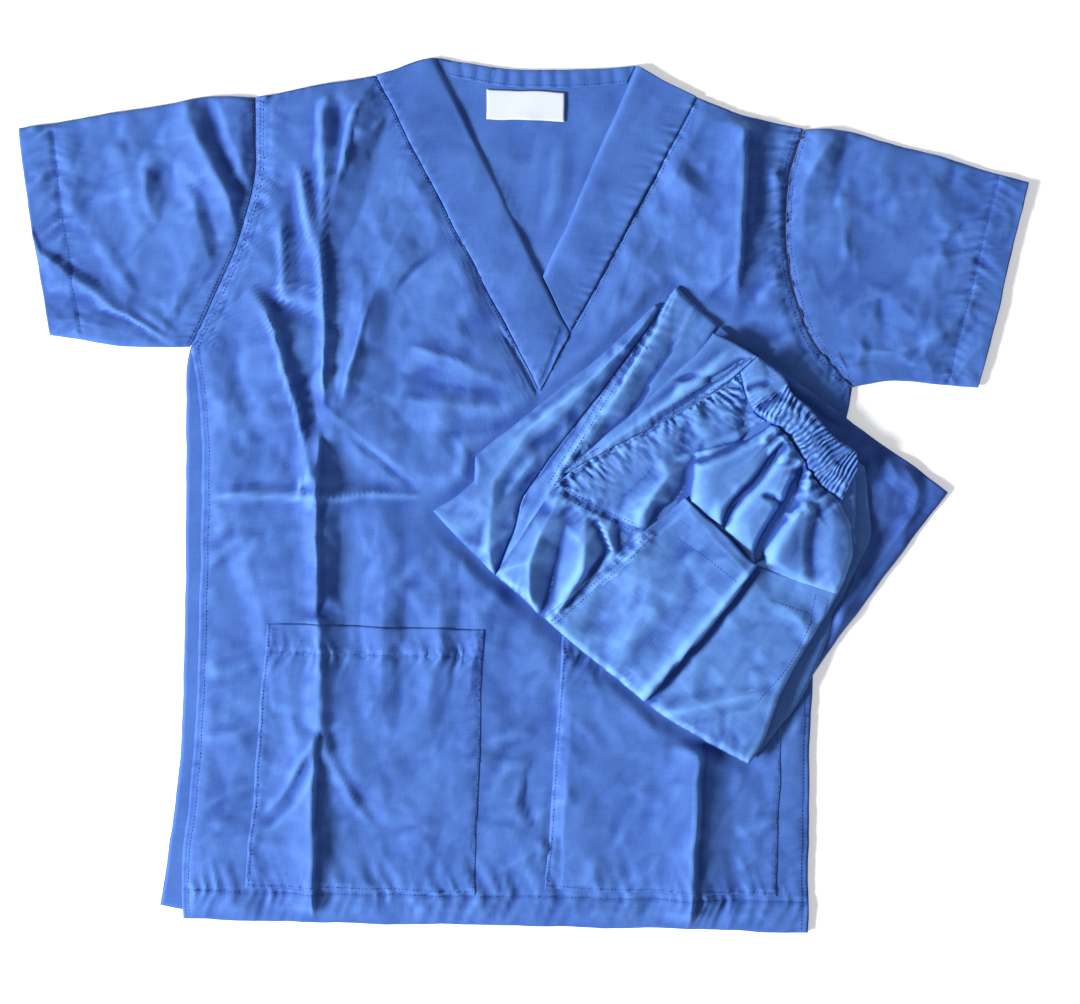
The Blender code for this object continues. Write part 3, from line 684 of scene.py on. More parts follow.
def cloth_material(name, dark, light, roughness=0.70, grain=0, thread=THREAD, bump=0.12, sheen=0.12,
                   fading=1.0):
    """Woven cloth between two dyes; `fading` says how strongly its crests are painted pale as highlight and
    its hollows dark as shade.
    """
    made = bpy.data.materials.new(name)
    made.use_nodes = True
    tree = made.node_tree
    place = add_node(tree, "TexCoord", {}).outputs["Object"]
    turned = add_node(tree, "Mapping", {"Vector": place, "Rotation": (0, 0, math.radians(grain))}).outputs[0]
    weave = add_node(tree, "Group", {"Vector": turned, "Thread": thread}, node_tree=weave_group)
    dye = add_node(tree, "Group", {"Vector": turned}, node_tree=dye_group)
    creases = add_node(tree, "Group", {"Vector": turned}, node_tree=crease_group)

    shade = math_of(tree, "MULTIPLY_ADD", weave.outputs["Shade"], THREAD_SHARE, dye.outputs["Value"])
    spread = add_node(tree, "MapRange", {"Value": shade, "From Min": DYE_FROM, "From Max": DYE_TO})
    # The fade attribute is painted light and shade: paler on crests as a highlight, darker in hollows as
    # shade.
    fade = add_node(tree, "Attribute", {}, attribute_name="fade").outputs["Fac"]
    with_painted_shading = math_of(tree, "MULTIPLY_ADD", fade, fading, spread.outputs["Result"])
    level = math_of(tree, "SUBTRACT", with_painted_shading, fading / 2)
    mix = add_node(tree, "Mix", {"Factor": level, "A": (*dark, 1), "B": (*light, 1)}, data_type="RGBA")
    rough = add_node(tree, "MapRange", {"Value": dye.outputs["Value"], "To Min": roughness - SMOOTHER,
                                        "To Max": roughness + ROUGHER})
    handled = add_node(tree, "Bump", {"Strength": CREASE_BUMP, "Distance": CREASE_DEEP,
                                      "Height": creases.outputs["Height"]})
    relief = add_node(tree, "Bump", {"Strength": bump, "Distance": THREAD_DEEP,
                                     "Height": weave.outputs["Height"], "Normal": handled.outputs["Normal"]})
    surface = tree.nodes["Principled BSDF"].inputs
    tree.links.new(mix.outputs["Result"], surface["Base Color"])
    tree.links.new(rough.outputs["Result"], surface["Roughness"])
    tree.links.new(relief.outputs["Normal"], surface["Normal"])
    surface["Sheen Weight"].default_value = sheen
    surface["Sheen Roughness"].default_value = SHEEN_ROUGHNESS
    surface["Sheen Tint"].default_value = SHEEN_TINT
    surface["Specular IOR Level"].default_value = SPECULAR
    return made


poplin = cloth_material("scrub_poplin_cloth", (0.024, 0.068, 0.305), (0.102, 0.242, 0.66))
# The leg end: the same cloth painted darker as painted shade, where it lies in the bundle's shadow and
# slopes away from the light.
poplin_shaded_leg_end = cloth_material("scrub_poplin_shaded_leg_end", (0.0173, 0.049, 0.25), (0.0735, 0.174, 0.54))
# The folded trousers: the same cloth painted lighter as a lit copy, where the bundle catches more light,
# with stronger painted crest highlights and hollow shade.
poplin_lit_bundle = cloth_material("scrub_poplin_lit_folded", (0.022, 0.066, 0.30), (0.155, 0.36, 0.84),
                               grain=36, fading=1.2)
thread_blue = cloth_material("thread_blue", (0.016, 0.055, 0.26), (0.04, 0.12, 0.42), 0.6,
                             bump=0.05, fading=0.0)
label_white = cloth_material("label_white", (0.56, 0.62, 0.72), (0.68, 0.73, 0.82), 0.6,
                             thread=0.0003, sheen=0.1, fading=0.0)


# ---- Panels of the set -----------------------------------------------------------------------
# Which way each panel's corners lie: low left, low right, up right and up left as its cloth runs.
DIAGONALS = (-1, -1), (1, -1), (1, 1), (-1, 1)
POINTS_LEFT = (-1, 0), (0, -1), (1, 0), (0, 1)
POINTS_DOWN = (0, -1), (1, 0), (0, 1), (-1, 0)
ALONG_LEG = (0, 1), (-1, 0), (0, -1), (1, 0)
ALONG_SEAT = (-1, 0), (0, -1), (1, 0.7), (0, 1)

front_sides = four_sides("top_front", *DIAGONALS)
back_sides = four_sides("top_back", *DIAGONALS)
sleeve_r_sides = four_sides("sleeve_right", *DIAGONALS)
sleeve_l_sides = four_sides("sleeve_left", *DIAGONALS)
facing_sides = four_sides("neck_facing", *DIAGONALS)
label_sides = four_sides("neck_label", *DIAGONALS)
pocket_r_sides = four_sides("pocket_right", *DIAGONALS)
pocket_l_sides = four_sides("pocket_left", *DIAGONALS)
band_r_sides = four_sides("neck_band_right", *POINTS_DOWN)
band_l_sides = four_sides("neck_band_left", *POINTS_LEFT)
leg_end_sides = four_sides("trousers_leg_end", *POINTS_DOWN)
leg_back_sides = four_sides("trousers_leg_back", *ALONG_LEG)
leg_front_sides = four_sides("trousers_leg_front", *ALONG_LEG)
under_leg_sides = four_sides("trousers_under_leg", *ALONG_SEAT)
rise_sides = four_sides("trousers_rise", (0.5, -1), (1, 0), (0, 1), (-1, 0))
seat_sides = four_sides("trousers_seat", *ALONG_SEAT)
hip_pocket_sides = four_sides("trousers_pocket", *POINTS_LEFT)
waist_sides = four_sides("trousers_waistband", *POINTS_LEFT)

armhole_r, armhole_l = sleeve_r_sides[3], sleeve_l_sides[2]  # both go up from the armpit
sleeve_hem_r, sleeve_hem_l = sleeve_r_sides[2], sleeve_l_sides[3]
v_right, v_left = band_r_sides[2], band_l_sides[3]  # outer edges of the two neck bands
inner_right, inner_left = band_r_sides[3], band_l_sides[2]
hem_front = front_sides[0]
side_r, side_l = front_sides[2], front_sides[3]

bundle_loop = np.concatenate([
    even(leg_back_sides[0], 25),
    even(leg_back_sides[3], 6),
    even(seat_sides[0], 25),
    even(leg_end_sides[0], 17),
    even(leg_end_sides[3], 17),
    leg_front_sides[2][::-1][[0, -1]],
])

# ---- Creases of the top's front --------------------------------------------------------------
FRONT_FOLDS = (
    # The pressed crease that comes in from the right armhole and runs down to the hem.
    Fold(4.5, 12, 11, 0.9, 0.16, ((-167, 345), (-168, 320), (-168, 287), (-168, 255))),
    Fold(-3.0, 16, 14, 0.5, 0.3, ((-158, 341), (-157, 316), (-162, 287))),
    Fold(5.0, 9, 11, 0.95, 0.10,
         ((-194, 287), (-185, 250), (-175, 210), (-169, 162), (-168, 117), (-169, 71))),
    Fold(4.5, 30, 22, 0.9, 0.10, ((-171, 65), (-172, 39), (-174, 13), (-175, -39), (-175, -104))),
    Fold(3.5, 5, 12, 0.95, 0.10, ((-172, 57), (-174, 13), (-175, -39), (-175, -106))),
    Fold(2.6, 9, 12, 0.95, 0.08, ((-174, -101), (-172, -152), (-172, -204))),
    Fold(4.2, 26, 16, 0.9, 0.12, ((-174, -95), (-172, -152), (-174, -206))),
    Fold(4.0, 14, 40, 0.9, 0.10, ((-175, -191), (-177, -230), (-178, -291), (-178, -365))),
    Fold(3.6, 4, 20, 0.95, 0.12, ((-176, -195), (-177, -230), (-178, -291), (-178, -365))),
    Fold(-3.4, 22, 14, 0.3, 0.25, ((-156, 4), (-155, -39), (-158, -100))),
    Fold(2.8, 10, 8, 0.7, 0.25, ((-174, -200), (-189, -226), (-207, -256), (-228, -279))),
    Fold(-2.4, 10, 10, 0.5, 0.25, ((-172, -208), (-183, -230), (-200, -261), (-220, -284))),
    Fold(3.2, 8, 10, 0.7, 0.2, ((-170, -191), (-163, -224), (-147, -253), (-126, -282))),
    # Kinks and drag lines beside it.
    Fold(3.6, 3, 6, 0.9, 0.3, ((-134, 343), (-147, 315), (-152, 281), (-163, 255))),
    Fold(3.2, 3, 6, 0.9, 0.2, ((-229, 170), (-216, 151), (-206, 126), (-198, 96), (-189, 64), (-183, 34))),
    Fold(3.0, 3, 8, 0.95, 0.1,
         ((-172, 343), (-171, 302), (-170, 251), (-170, 198), (-169, 141), (-169, 79))),
    Fold(2.4, 3, 6, 0.9, 0.2, ((-204, 234), (-204, 198), (-204, 163))),
    Fold(2.0, 3, 6, 0.9, 0.3, ((-190, 281), (-187, 251), (-181, 219), (-176, 198))),
    Fold(-1.8, 4, 5, 0.8, 0.25, ((-152, 54), (-126, 34), (-101, 13), (-84, -2))),
    Fold(-1.6, 4, 5, 0.8, 0.3, ((-109, 173), (-92, 193), (-71, 212))),
    Fold(2.6, 4, 4, 0.8, 0.3, ((-187, 17), (-190, 5), (-184, -7))),
    Fold(1.6, 3, 5, 0.9, 0.12, ((-272, -1), (-224, 0), (-164, -2), (-122, 1), (-78, -2))),
    Fold(1.8, 3, 5, 0.8, 0.3, ((-156, 74), (-147, 107), (-138, 139), (-130, 164))),
    Fold(1.8, 4, 5, 0.8, 0.3, ((-102, 127), (-71, 119), (-34, 105))),
    Fold(1.6, 3, 5, 0.8, 0.3, ((-222, 173), (-198, 178), (-173, 170), (-159, 158))),
    Fold(2.2, 8, 8, 0.8, 0.3, ((-149, 313), (-132, 308), (-116, 322))),
    Fold(1.8, 10, 12, 0.9, 0.18,
         ((-230, 176), (-212, 150), (-203, 113), (-193, 71), (-183, 25), (-179, -2))),
    Fold(-1.6, 9, 11, 0.5, 0.25, ((-226, 172), (-205, 157), (-179, 147), (-151, 132))),
    Fold(2.3, 10, 12, 0.7, 0.3, ((-198, 175), (-180, 162), (-169, 160))),
    Fold(-1.6, 19, 24, 0.4, 0.3, ((-165, 73), (-138, 50), (-113, 25), (-88, 4))),
    Fold(-2.5, 17, 17, 0.4, 0.3, ((-155, 63), (-153, 34), (-155, 4))),
    Fold(2.0, 10, 11, 0.7, 0.3, ((-136, 194), (-137, 162), (-137, 135))),
    Fold(2.0, 12, 12, 0.7, 0.3, ((-139, 132), (-146, 104), (-152, 75))),
    Fold(2.0, 14, 12, 0.6, 0.3, ((-127, 187), (-129, 154), (-132, 125))),
    Fold(2.7, 10, 10, 0.8, 0.3, ((-191, 4), (-183, 14), (-177, 29))),
    Fold(2.3, 10, 10, 0.8, 0.3, ((-171, -2), (-177, 13), (-183, 21))),
    Fold(2.3, 8, 11, 0.8, 0.3, ((-183, -14), (-178, -6), (-173, 4))),
    Fold(-2.0, 14, 19, 0.4, 0.3, ((-242, 104), (-234, 63), (-221, 13))),
    Fold(2.0, 19, 17, 0.5, 0.3, ((-267, 83), (-246, 71), (-230, 42))),
    Fold(2.3, 22, 17, 0.4, 0.35, ((-126, 171), (-105, 191), (-76, 212))),
    Fold(-2.0, 22, 19, 0.4, 0.35, ((-117, 208), (-97, 237), (-76, 254))),
    Fold(1.7, 14, 22, 0.5, 0.3, ((-73, 95), (-71, 68), (-70, 39))),
    Fold(1.7, 17, 22, 0.6, 0.3, ((-54, 0), (-53, -46), (-55, -97))),
    # The pressed crease that comes in from the left armhole.
    Fold(7.0, 26, 36, 0.85, 0.14, ((186, 332), (186, 287), (184, 234), (179, 159))),
    Fold(4.0, 5, 26, 0.9, 0.16, ((186, 329), (186, 287), (184, 234), (180, 166))),
    Fold(-2.6, 14, 14, 0.4, 0.3, ((198, 310), (199, 257), (193, 204))),
    Fold(3.4, 10, 10, 0.7, 0.3, ((212, 285), (217, 246), (218, 212))),
    Fold(3.0, 12, 16, 0.5, 0.3, ((197, 159), (212, 181), (219, 200))),
    Fold(-3.0, 16, 14, 0.5, 0.3, ((182, 144), (201, 137), (227, 140))),
    Fold(3.4, 18, 16, 0.5, 0.3, ((107, 314), (118, 283), (144, 257), (163, 246))),
    Fold(-3.0, 18, 16, 0.4, 0.3, ((99, 295), (114, 261), (137, 230))),
    Fold(5.5, 30, 38, 0.85, 0.12, ((148, -198), (147, -247), (145, -294), (139, -376))),
    Fold(5.0, 6, 26, 0.95, 0.10, ((148, -201), (147, -247), (145, -294), (139, -376))),
    # The fold across the middle.
    Fold(2.5, 8, 13, 0.85, 0.16, ((-273, -1), (-224, 1), (-164, -1), (-122, 2), (-76, -1))),
    # Drag lines near the sides, the pockets and the hem.
    Fold(2.0, 10, 8, 0.8, 0.3, ((-272, -61), (-252, -45), (-228, -29))),
    Fold(1.9, 11, 11, 0.7, 0.3, ((-274, -150), (-248, -148), (-220, -139))),
    Fold(1.7, 8, 10, 0.8, 0.3, ((-276, -206), (-252, -204), (-225, -194))),
    Fold(1.7, 8, 10, 0.8, 0.3, ((-274, -265), (-252, -253), (-224, -243))),
    Fold(2.0, 11, 11, 0.7, 0.3, ((-270, -278), (-248, -277), (-222, -265))),
    Fold(1.7, 11, 11, 0.7, 0.3, ((-131, -87), (-100, -69), (-74, -39))),
    Fold(1.9, 11, 11, 0.7, 0.3, ((-39, -104), (-22, -82), (-5, -72))),
    Fold(1.7, 12, 12, 0.7, 0.3, ((-31, -256), (-11, -230), (17, -221))),
    Fold(1.9, 10, 11, 0.8, 0.25, ((175, -288), (194, -282), (219, -273))),
    Fold(1.6, 10, 11, 0.8, 0.3, ((178, -317), (191, -310), (204, -300))),
    Fold(1.9, 11, 11, 0.7, 0.3, ((4, -277), (26, -261), (49, -253))),
    Fold(1.9, 11, 11, 0.7, 0.3, ((-24, -320), (3, -304), (24, -289))),
    Fold(1.6, 11, 11, 0.7, 0.3, ((-34, -209), (-14, -205), (13, -201))),
    Fold(1.7, 12, 12, 0.6, 0.3, ((46, -333), (59, -317), (62, -300))),
    Fold(1.7, 11, 11, 0.7, 0.3, ((89, -327), (108, -317), (118, -300))),
    # Pulls towards the point of the V.
    Fold(2.2, 14, 12, 0.6, 0.35, ((-108, 125), (-62, 113), (-18, 96))),
    Fold(2.5, 14, 12, 0.6, 0.35, ((-64, 17), (-28, 37), (0, 61))),
    Fold(2.0, 17, 17, 0.4, 0.35, ((-248, -57), (-222, -43), (-187, -45))),
    Fold(1.9, 17, 17, 0.5, 0.35, ((-152, -165), (-146, -208), (-148, -259))),
)
# Flat facets of the front, between ridges and valleys; those of no height keep the rest level.
FRONT_BREAKS = (
    Break((0, 0, 0, 0, 0, 0),
          ((-292, 98), (-300, -174), (-292, -386), (-88, -386), (150, -386), (218, -106))),
    Break((0, 0, 0, 0, 0, 0), ((-283, 141), (-222, 268), (-232, 353), (-164, 396), (-88, 370), (-71, 319))),
    Break((2, 7.5, 8, 6.5, 2.5), ((-125, 360), (-144, 321), (-151, 285), (-161, 255), (-171, 217))),
    Break((-1, -2.5, -2.5, -1.5, 0), ((-108, 340), (-119, 302), (-129, 264), (-146, 224), (-164, 187))),
    Break((1, 2.5, 2, 0.5), ((-81, 285), (-96, 238), (-117, 198), (-146, 166))),
    Break((1.5, 3.5, 4, 2.5, 0.5), ((-197, 328), (-190, 281), (-186, 247), (-180, 215), (-175, 193))),
    Break((0.5, 3, 3.5, 2), ((-207, 260), (-205, 230), (-204, 196), (-202, 164))),
    Break((-0.5, -1.5, -1.5, -0.5), ((-197, 260), (-193, 230), (-191, 196), (-193, 166))),
    Break((-0.5, -2.5, -3, -3, -2), ((-231, 178), (-215, 170), (-193, 159), (-171, 147), (-154, 137))),
    Break((1, 3, 3.6, 3.8, 3.6, 2.8, 1.2),
          ((-232, 173), (-218, 153), (-206, 125), (-198, 95), (-189, 61), (-183, 28), (-177, 1))),
    Break((0, -0.5, -1, -0.5, 0), ((-210, 147), (-197, 127), (-184, 96), (-176, 64), (-171, 30))),
    Break((-0.5, -2.5, -3, -1), ((-260, 151), (-244, 124), (-243, 98), (-256, 71))),
    Break((0.5, 2, 2, 0.5), ((-270, 124), (-256, 96), (-236, 64), (-222, 22))),
    Break((0.5, -1.5, -2, -0.5), ((-244, 64), (-222, 47), (-202, 28), (-193, 8))),
    Break((1, 3.5, 4, 3, 1), ((-156, 71), (-148, 105), (-139, 139), (-130, 164), (-112, 198))),
    Break((0, -2, -2.5, -1), ((-117, 141), (-107, 173), (-88, 197), (-64, 217))),
    Break((0.5, 2, 2.5, 1), ((-88, 141), (-66, 166), (-52, 198), (-45, 230))),
    Break((1, 4.5, 5, 4, 1.5), ((-171, 78), (-153, 61), (-127, 40), (-103, 23), (-78, 13))),
    Break((-1, -2.5, -3, -2.5, -0.5), ((-166, 47), (-151, 27), (-127, 10), (-103, 1), (-71, 0))),
    Break((0.5, 3, 3.5, 2, 0), ((-122, 85), (-95, 79), (-66, 76), (-28, 71), (4, 64))),
    Break((-0.5, -2.5, -3, -2, 0), ((-91, 54), (-61, 51), (-37, 53), (-17, 58), (9, 64))),
    Break((0, 2, 2, 0), ((-115, 122), (-79, 113), (-37, 100), (-3, 85))),
    Break((0, -1.5, -1.5, 0), ((-107, 105), (-74, 95), (-40, 88), (-6, 78))),
    Break((0.5, 3, 3, 1), ((-61, 13), (-45, 34), (-25, 47), (-1, 56))),
    # Below the fold across the middle.
    Break((0, 3, 3.5, 3, 1), ((-202, -21), (-198, -72), (-198, -123), (-197, -182), (-190, -233))),
    Break((0, -2, -2.5, -1.5, 0), ((-268, -14), (-253, -55), (-241, -106), (-229, -142), (-215, -165))),
    Break((0.5, 2, 2.5, 2, 0.5), ((-244, -21), (-231, -63), (-222, -106), (-214, -140), (-210, -191))),
    Break((0, 2, 2, 0), ((-266, -174), (-244, -191), (-231, -227), (-227, -259))),
    Break((0, -1.5, -2, -1.5, 0), ((-271, -269), (-241, -274), (-217, -269), (-197, -247), (-180, -215))),
    Break((0.5, 2.5, 3, 2.5, 1), ((-265, -291), (-236, -289), (-210, -281), (-190, -259), (-176, -233))),
    Break((0, -2, -2, 0), ((-146, -21), (-139, -72), (-139, -123), (-144, -174))),
    Break((0.5, 3, 3.5, 2, 0), ((-124, -21), (-119, -72), (-119, -123), (-122, -174), (-129, -225))),
    Break((0, -1.5, -2, -1, 0), ((-103, -34), (-100, -80), (-103, -131), (-105, -174), (-112, -208))),
    Break((0.5, 3, 3.5, 2, 0.5), ((-79, -45), (-73, -76), (-71, -123), (-81, -174), (-105, -225))),
    Break((-0.5, -2.5, -2.5, -1.5, 0), ((-57, -42), (-55, -80), (-56, -123), (-61, -165), (-78, -208))),
    Break((0.5, 2, 2, 0.5), ((-42, -80), (-40, -123), (-45, -165), (-61, -210))),
    Break((0, -1.5, -2, -1, 0), ((-152, -240), (-136, -269), (-108, -291), (-79, -301), (-45, -298))),
    Break((0.5, 2, 2.5, 1, 0), ((-139, -238), (-119, -259), (-88, -269), (-61, -264), (-40, -250))),
    Break((0, 2.5, 2.5, 0), ((-32, -264), (-15, -278), (-6, -261), (0, -233))),
    Break((0, -2, -2, 0), ((-3, -191), (4, -225), (0, -259), (11, -289))),
    Break((0.5, 3, 3, 0.5), ((-6, -330), (7, -315), (18, -300), (31, -291))),
    Break((0, -2, -2.5, -2, 0), ((24, -150), (25, -191), (23, -242), (20, -293), (19, -344))),
    Break((0.5, 3, 3, 2.5, 0.5), ((38, -147), (40, -191), (36, -242), (33, -284), (31, -344))),
    Break((0, 2, 2.5, 0.5), ((-20, -165), (-6, -153), (14, -143), (28, -131))),
    # The left side of the chest.
    Break((0, 0, 0, 0), ((65, 362), (150, 353), (210, 328), (214, 217))),
    Break((1, 4, 4.5, 4.5, 4, 2), ((84, 329), (96, 292), (116, 263), (143, 244), (165, 217), (164, 180))),
    Break((-0.5, -2.5, -3, -2.5, -1), ((68, 319), (75, 277), (96, 238), (119, 217), (142, 204))),
    Break((0.5, 2.5, 2.5, 1), ((62, 198), (84, 209), (102, 193), (116, 173))),
    Break((1, 3.5, 3, 0.5), ((142, 180), (123, 176), (101, 154), (79, 136))),
    Break((-0.5, -2, -2, -0.5), ((153, 166), (135, 158), (114, 141), (92, 122))),
    Break((0, 1.5, 1.5, 0), ((31, 166), (48, 175), (65, 161), (75, 141))),
    Break((0, 2, 2.5, 1), ((28, 119), (51, 110), (74, 95), (99, 85))),
    Break((0, -1.5, -2, -0.5), ((24, 102), (48, 86), (68, 74), (87, 64))),
)
front_crumples = crumples(((-290, -360), (290, 330)), 170, 1, (20, 75), (5, 13), (0.3, 1.2), 80, 50)
front_loop = outline_of(front_sides, 60)
pocket_r_loop, pocket_l_loop = outline_of(pocket_r_sides), outline_of(pocket_l_sides)

FRONT_SEAMS = (
    Seam(even(armhole_r, 40), 1.0, 2.4, 2.0, 7, 11, 11),
    Seam(even(armhole_l, 40), 1.0, 2.4, 1.8, 7, 11, 14),
    Seam(even(shifted(armhole_r, -11), 40), 0.7, 1.8, 1.2, 9, 7, 12),
    Seam(even(shifted(armhole_l, 11), 40), 0.6, 1.8, 1.0, 9, 7, 15),
    Seam(even(v_right, 40), 0.2, 1.8, 0.6, 9, 8, 17),
    Seam(even(v_left, 30), 0.6, 1.8, 0.8, 9, 8, 20),
    Seam(even(shifted(hem_front, HEM), 60), 0.7, 1.8, 2.0, 13, 15, 23),
    Seam(smooth_line(((-16, 135), (-1, 110), (12, 88), (23, 113), (34, 142))), 1.5, 1.8, 0.6, 8, 6, 36),
    Seam(even(shifted(side_r, -4), 40), 0.4, 1.8, 0.5, 9, 9, 26),
    Seam(even(shifted(side_l, 4), 40), 0.4, 1.8, 0.5, 9, 9, 29),
    Seam(even(front_sides[1], 40), 0.0, 1.8, 0.6, 7, 7, 33),
)


def softened(z):
    """z above zero, flattening smoothly towards zero below it."""
    return np.where(z > 0.4, z, 0.4 * np.exp(np.minimum(z - 0.4, 0) / 0.4))


def height_front(p):
    """The front panel: placed creases, with slack and small facets between them."""
    z = folds_height(p, FRONT_FOLDS) + folds_height(p, front_crumples)
    z += 0.9 * breaks_height(p, FRONT_BREAKS)
    z += 0.8 * waves(p, 95, 1) + 1.6 * facets(p, 66, 2, 1.5, 75) + 1.6 * facets(p, 27, 3, 1.4, 60)
    z += 0.8 * facets(p, 12, 4) + 3.8
    # Cloth lies on the back where it sags, all round its edge, and under the trousers.
    depth = depth_in(p, front_loop)
    z = np.maximum(z - 1.6, 0.3 * (z - 1.6)) * smooth((depth + 3) / 18) + 0.8
    under = smooth(-depth_in(p, bundle_loop) / 16)
    z = z * under + seams_height(p, FRONT_SEAMS) * np.maximum(under, 0.3)
    return FRONT + CLEAR + softened(z + CLEAR) - CLEAR


BACK_FOLDS = (
    Fold(1.2, 12, 14, 0.3, 0.35, ((-45, 294), (-20, 251), (-3, 200))),
    Fold(1.2, 14, 12, 0.3, 0.35, ((31, 311), (27, 268), (14, 217))),
    Fold(-1.0, 10, 14, 0.3, 0.35, ((-3, 319), (6, 277))),
)


def height_back(p):
    """The back panel: it shows inside the V, and has only faint pressed creases elsewhere."""
    z = 0.35 * waves(p, 60, 31) + 0.25 * waves(p, 25, 32, 2, 80) + 1.6 * folds_height(p, BACK_FOLDS)
    z += 1.2 * facets(p, 42, 33, 1.4, 80) + 0.5 * facets(p, 17, 34) + 0.6
    neck = smooth((p[:, 1] - 100) / 60) * smooth((150 - np.abs(p[:, 0] - 15)) / 40)
    pressed = np.clip(0.16 * folds_height(p, FRONT_FOLDS) + 0.3 * facets(p, 70, 35, 1.4, 80), 0, 0.5)
    return BACK + np.maximum(z + 0.2, 0) * neck + pressed * (1 - neck)


def height_band(p, inner, outer):
    """A neck band: double cloth whose fold drops to the back inside the V."""
    z = height_front(p) + 0.7 * rounded(gap_to(p, even(outer, 40)), 4)
    gap = gap_to(p, even(inner, 40))
    z += (1.5 * facets(p, 44, 12, 1.6, 60) + 0.7 * facets(p, 18, 13) + 1.5) * rounded(gap, 12)
    floor = BACK + SKIN + 0.2
    return floor + (z - floor) * (0.25 + 0.75 * rounded(gap, 5))


def height_band_r(p):
    return height_band(p, inner_right, v_right)


def height_band_l(p):
    return height_band(p, inner_left, v_left)


def height_pocket(p, loop, sides):
    """A patch pocket on the front, with its hem at the mouth and a pucker beside each stitched edge."""
    edge = depth_in(p, loop)
    hem = beside(p, even(sides[1], 20))[0]
    hem_line = even(shifted(sides[1], -POCKET_HEM), 30)
    seam = (
        Seam(hem_line, 0.7, 1.6, 1.8, 10, 9, 41),
        Seam(even(shifted(sides[0], 3), 30), 0.3, 1.2, 0.7, 8, 6, 44),
        Seam(even(shifted(sides[2], -3), 30), 0.3, 1.2, 0.7, 8, 6, 47),
        Seam(even(shifted(sides[3], 3), 30), 0.3, 1.2, 0.7, 8, 6, 50),
    )
    z = height_front(p) + SKIN + 0.3 - 1.1 * (1 - rounded(edge + 0.3, 5))
    z += 0.4 * smooth((POCKET_HEM + 1 - np.abs(hem)) / 2)
    return z + seams_height(p, seam) * smooth(edge / 1.5)


def height_pocket_r(p):
    return height_pocket(p, pocket_r_loop, pocket_r_sides)


def height_pocket_l(p):
    return height_pocket(p, pocket_l_loop, pocket_l_sides)


# ---- Creases of the sleeves ------------------------------------------------------------------
SLEEVE_R_FOLDS = (
    Fold(4.9, 18, 41, 0.7, 0.16, ((-287, 337), (-275, 301), (-258, 268), (-245, 233))),
    Fold(2.2, 14, 17, 0.5, 0.3, ((-272, 244), (-267, 224), (-256, 205))),
    Fold(-2.7, 12, 14, 0.5, 0.3, ((-279, 252), (-272, 230), (-260, 203))),
    Fold(3.0, 14, 19, 0.6, 0.3, ((-321, 246), (-319, 271), (-305, 290), (-289, 296))),
    Fold(-2.7, 17, 14, 0.5, 0.3, ((-312, 252), (-308, 274), (-294, 287))),
    Fold(-2.5, 14, 17, 0.5, 0.25, ((-401, 315), (-396, 287), (-391, 244))),
    Fold(2.5, 17, 14, 0.5, 0.3, ((-390, 312), (-387, 285), (-376, 263))),
    Fold(1.8, 19, 19, 0.5, 0.3, ((-354, 304), (-341, 271), (-332, 238))),
    Fold(4.0, 10, 22, 0.9, 0.25, ((-415, 211), (-382, 192), (-341, 164), (-287, 133))),
    Fold(-2.2, 12, 10, 0.6, 0.3, ((-409, 172), (-376, 166), (-343, 158), (-294, 134))),
    Fold(2.1, 12, 11, 0.6, 0.3, ((-305, 156), (-300, 164), (-289, 167))),
    Fold(1.8, 17, 14, 0.5, 0.3, ((-373, 216), (-346, 205), (-321, 186))),
    Fold(2.0, 10, 10, 0.8, 0.3, ((-247, 279), (-241, 268), (-231, 260))),
)
SLEEVE_L_FOLDS = (
    Fold(3.8, 19, 17, 0.6, 0.25, ((265, 314), (258, 295), (235, 268))),
    Fold(-2.7, 14, 14, 0.5, 0.3, ((277, 298), (265, 283), (246, 268))),
    Fold(2.0, 10, 12, 0.8, 0.25, ((274, 280), (276, 238), (283, 200), (283, 170))),
    Fold(1.8, 12, 11, 0.7, 0.3, ((254, 187), (288, 193), (326, 199), (375, 203))),
    Fold(2.0, 17, 14, 0.5, 0.3, ((322, 266), (356, 246), (388, 230))),
    Fold(-2.5, 11, 12, 0.6, 0.2, ((261, 118), (295, 116), (341, 118), (373, 144))),
    Fold(3.4, 14, 14, 0.7, 0.25, ((269, 106), (295, 110), (314, 113), (341, 123))),
    Fold(2.5, 14, 17, 0.6, 0.3, ((333, 128), (360, 144), (386, 174))),
    Fold(1.8, 19, 17, 0.5, 0.3, ((311, 276), (314, 246), (311, 212))),
    Fold(-1.8, 17, 14, 0.4, 0.3, ((239, 212), (246, 181), (265, 151))),
)
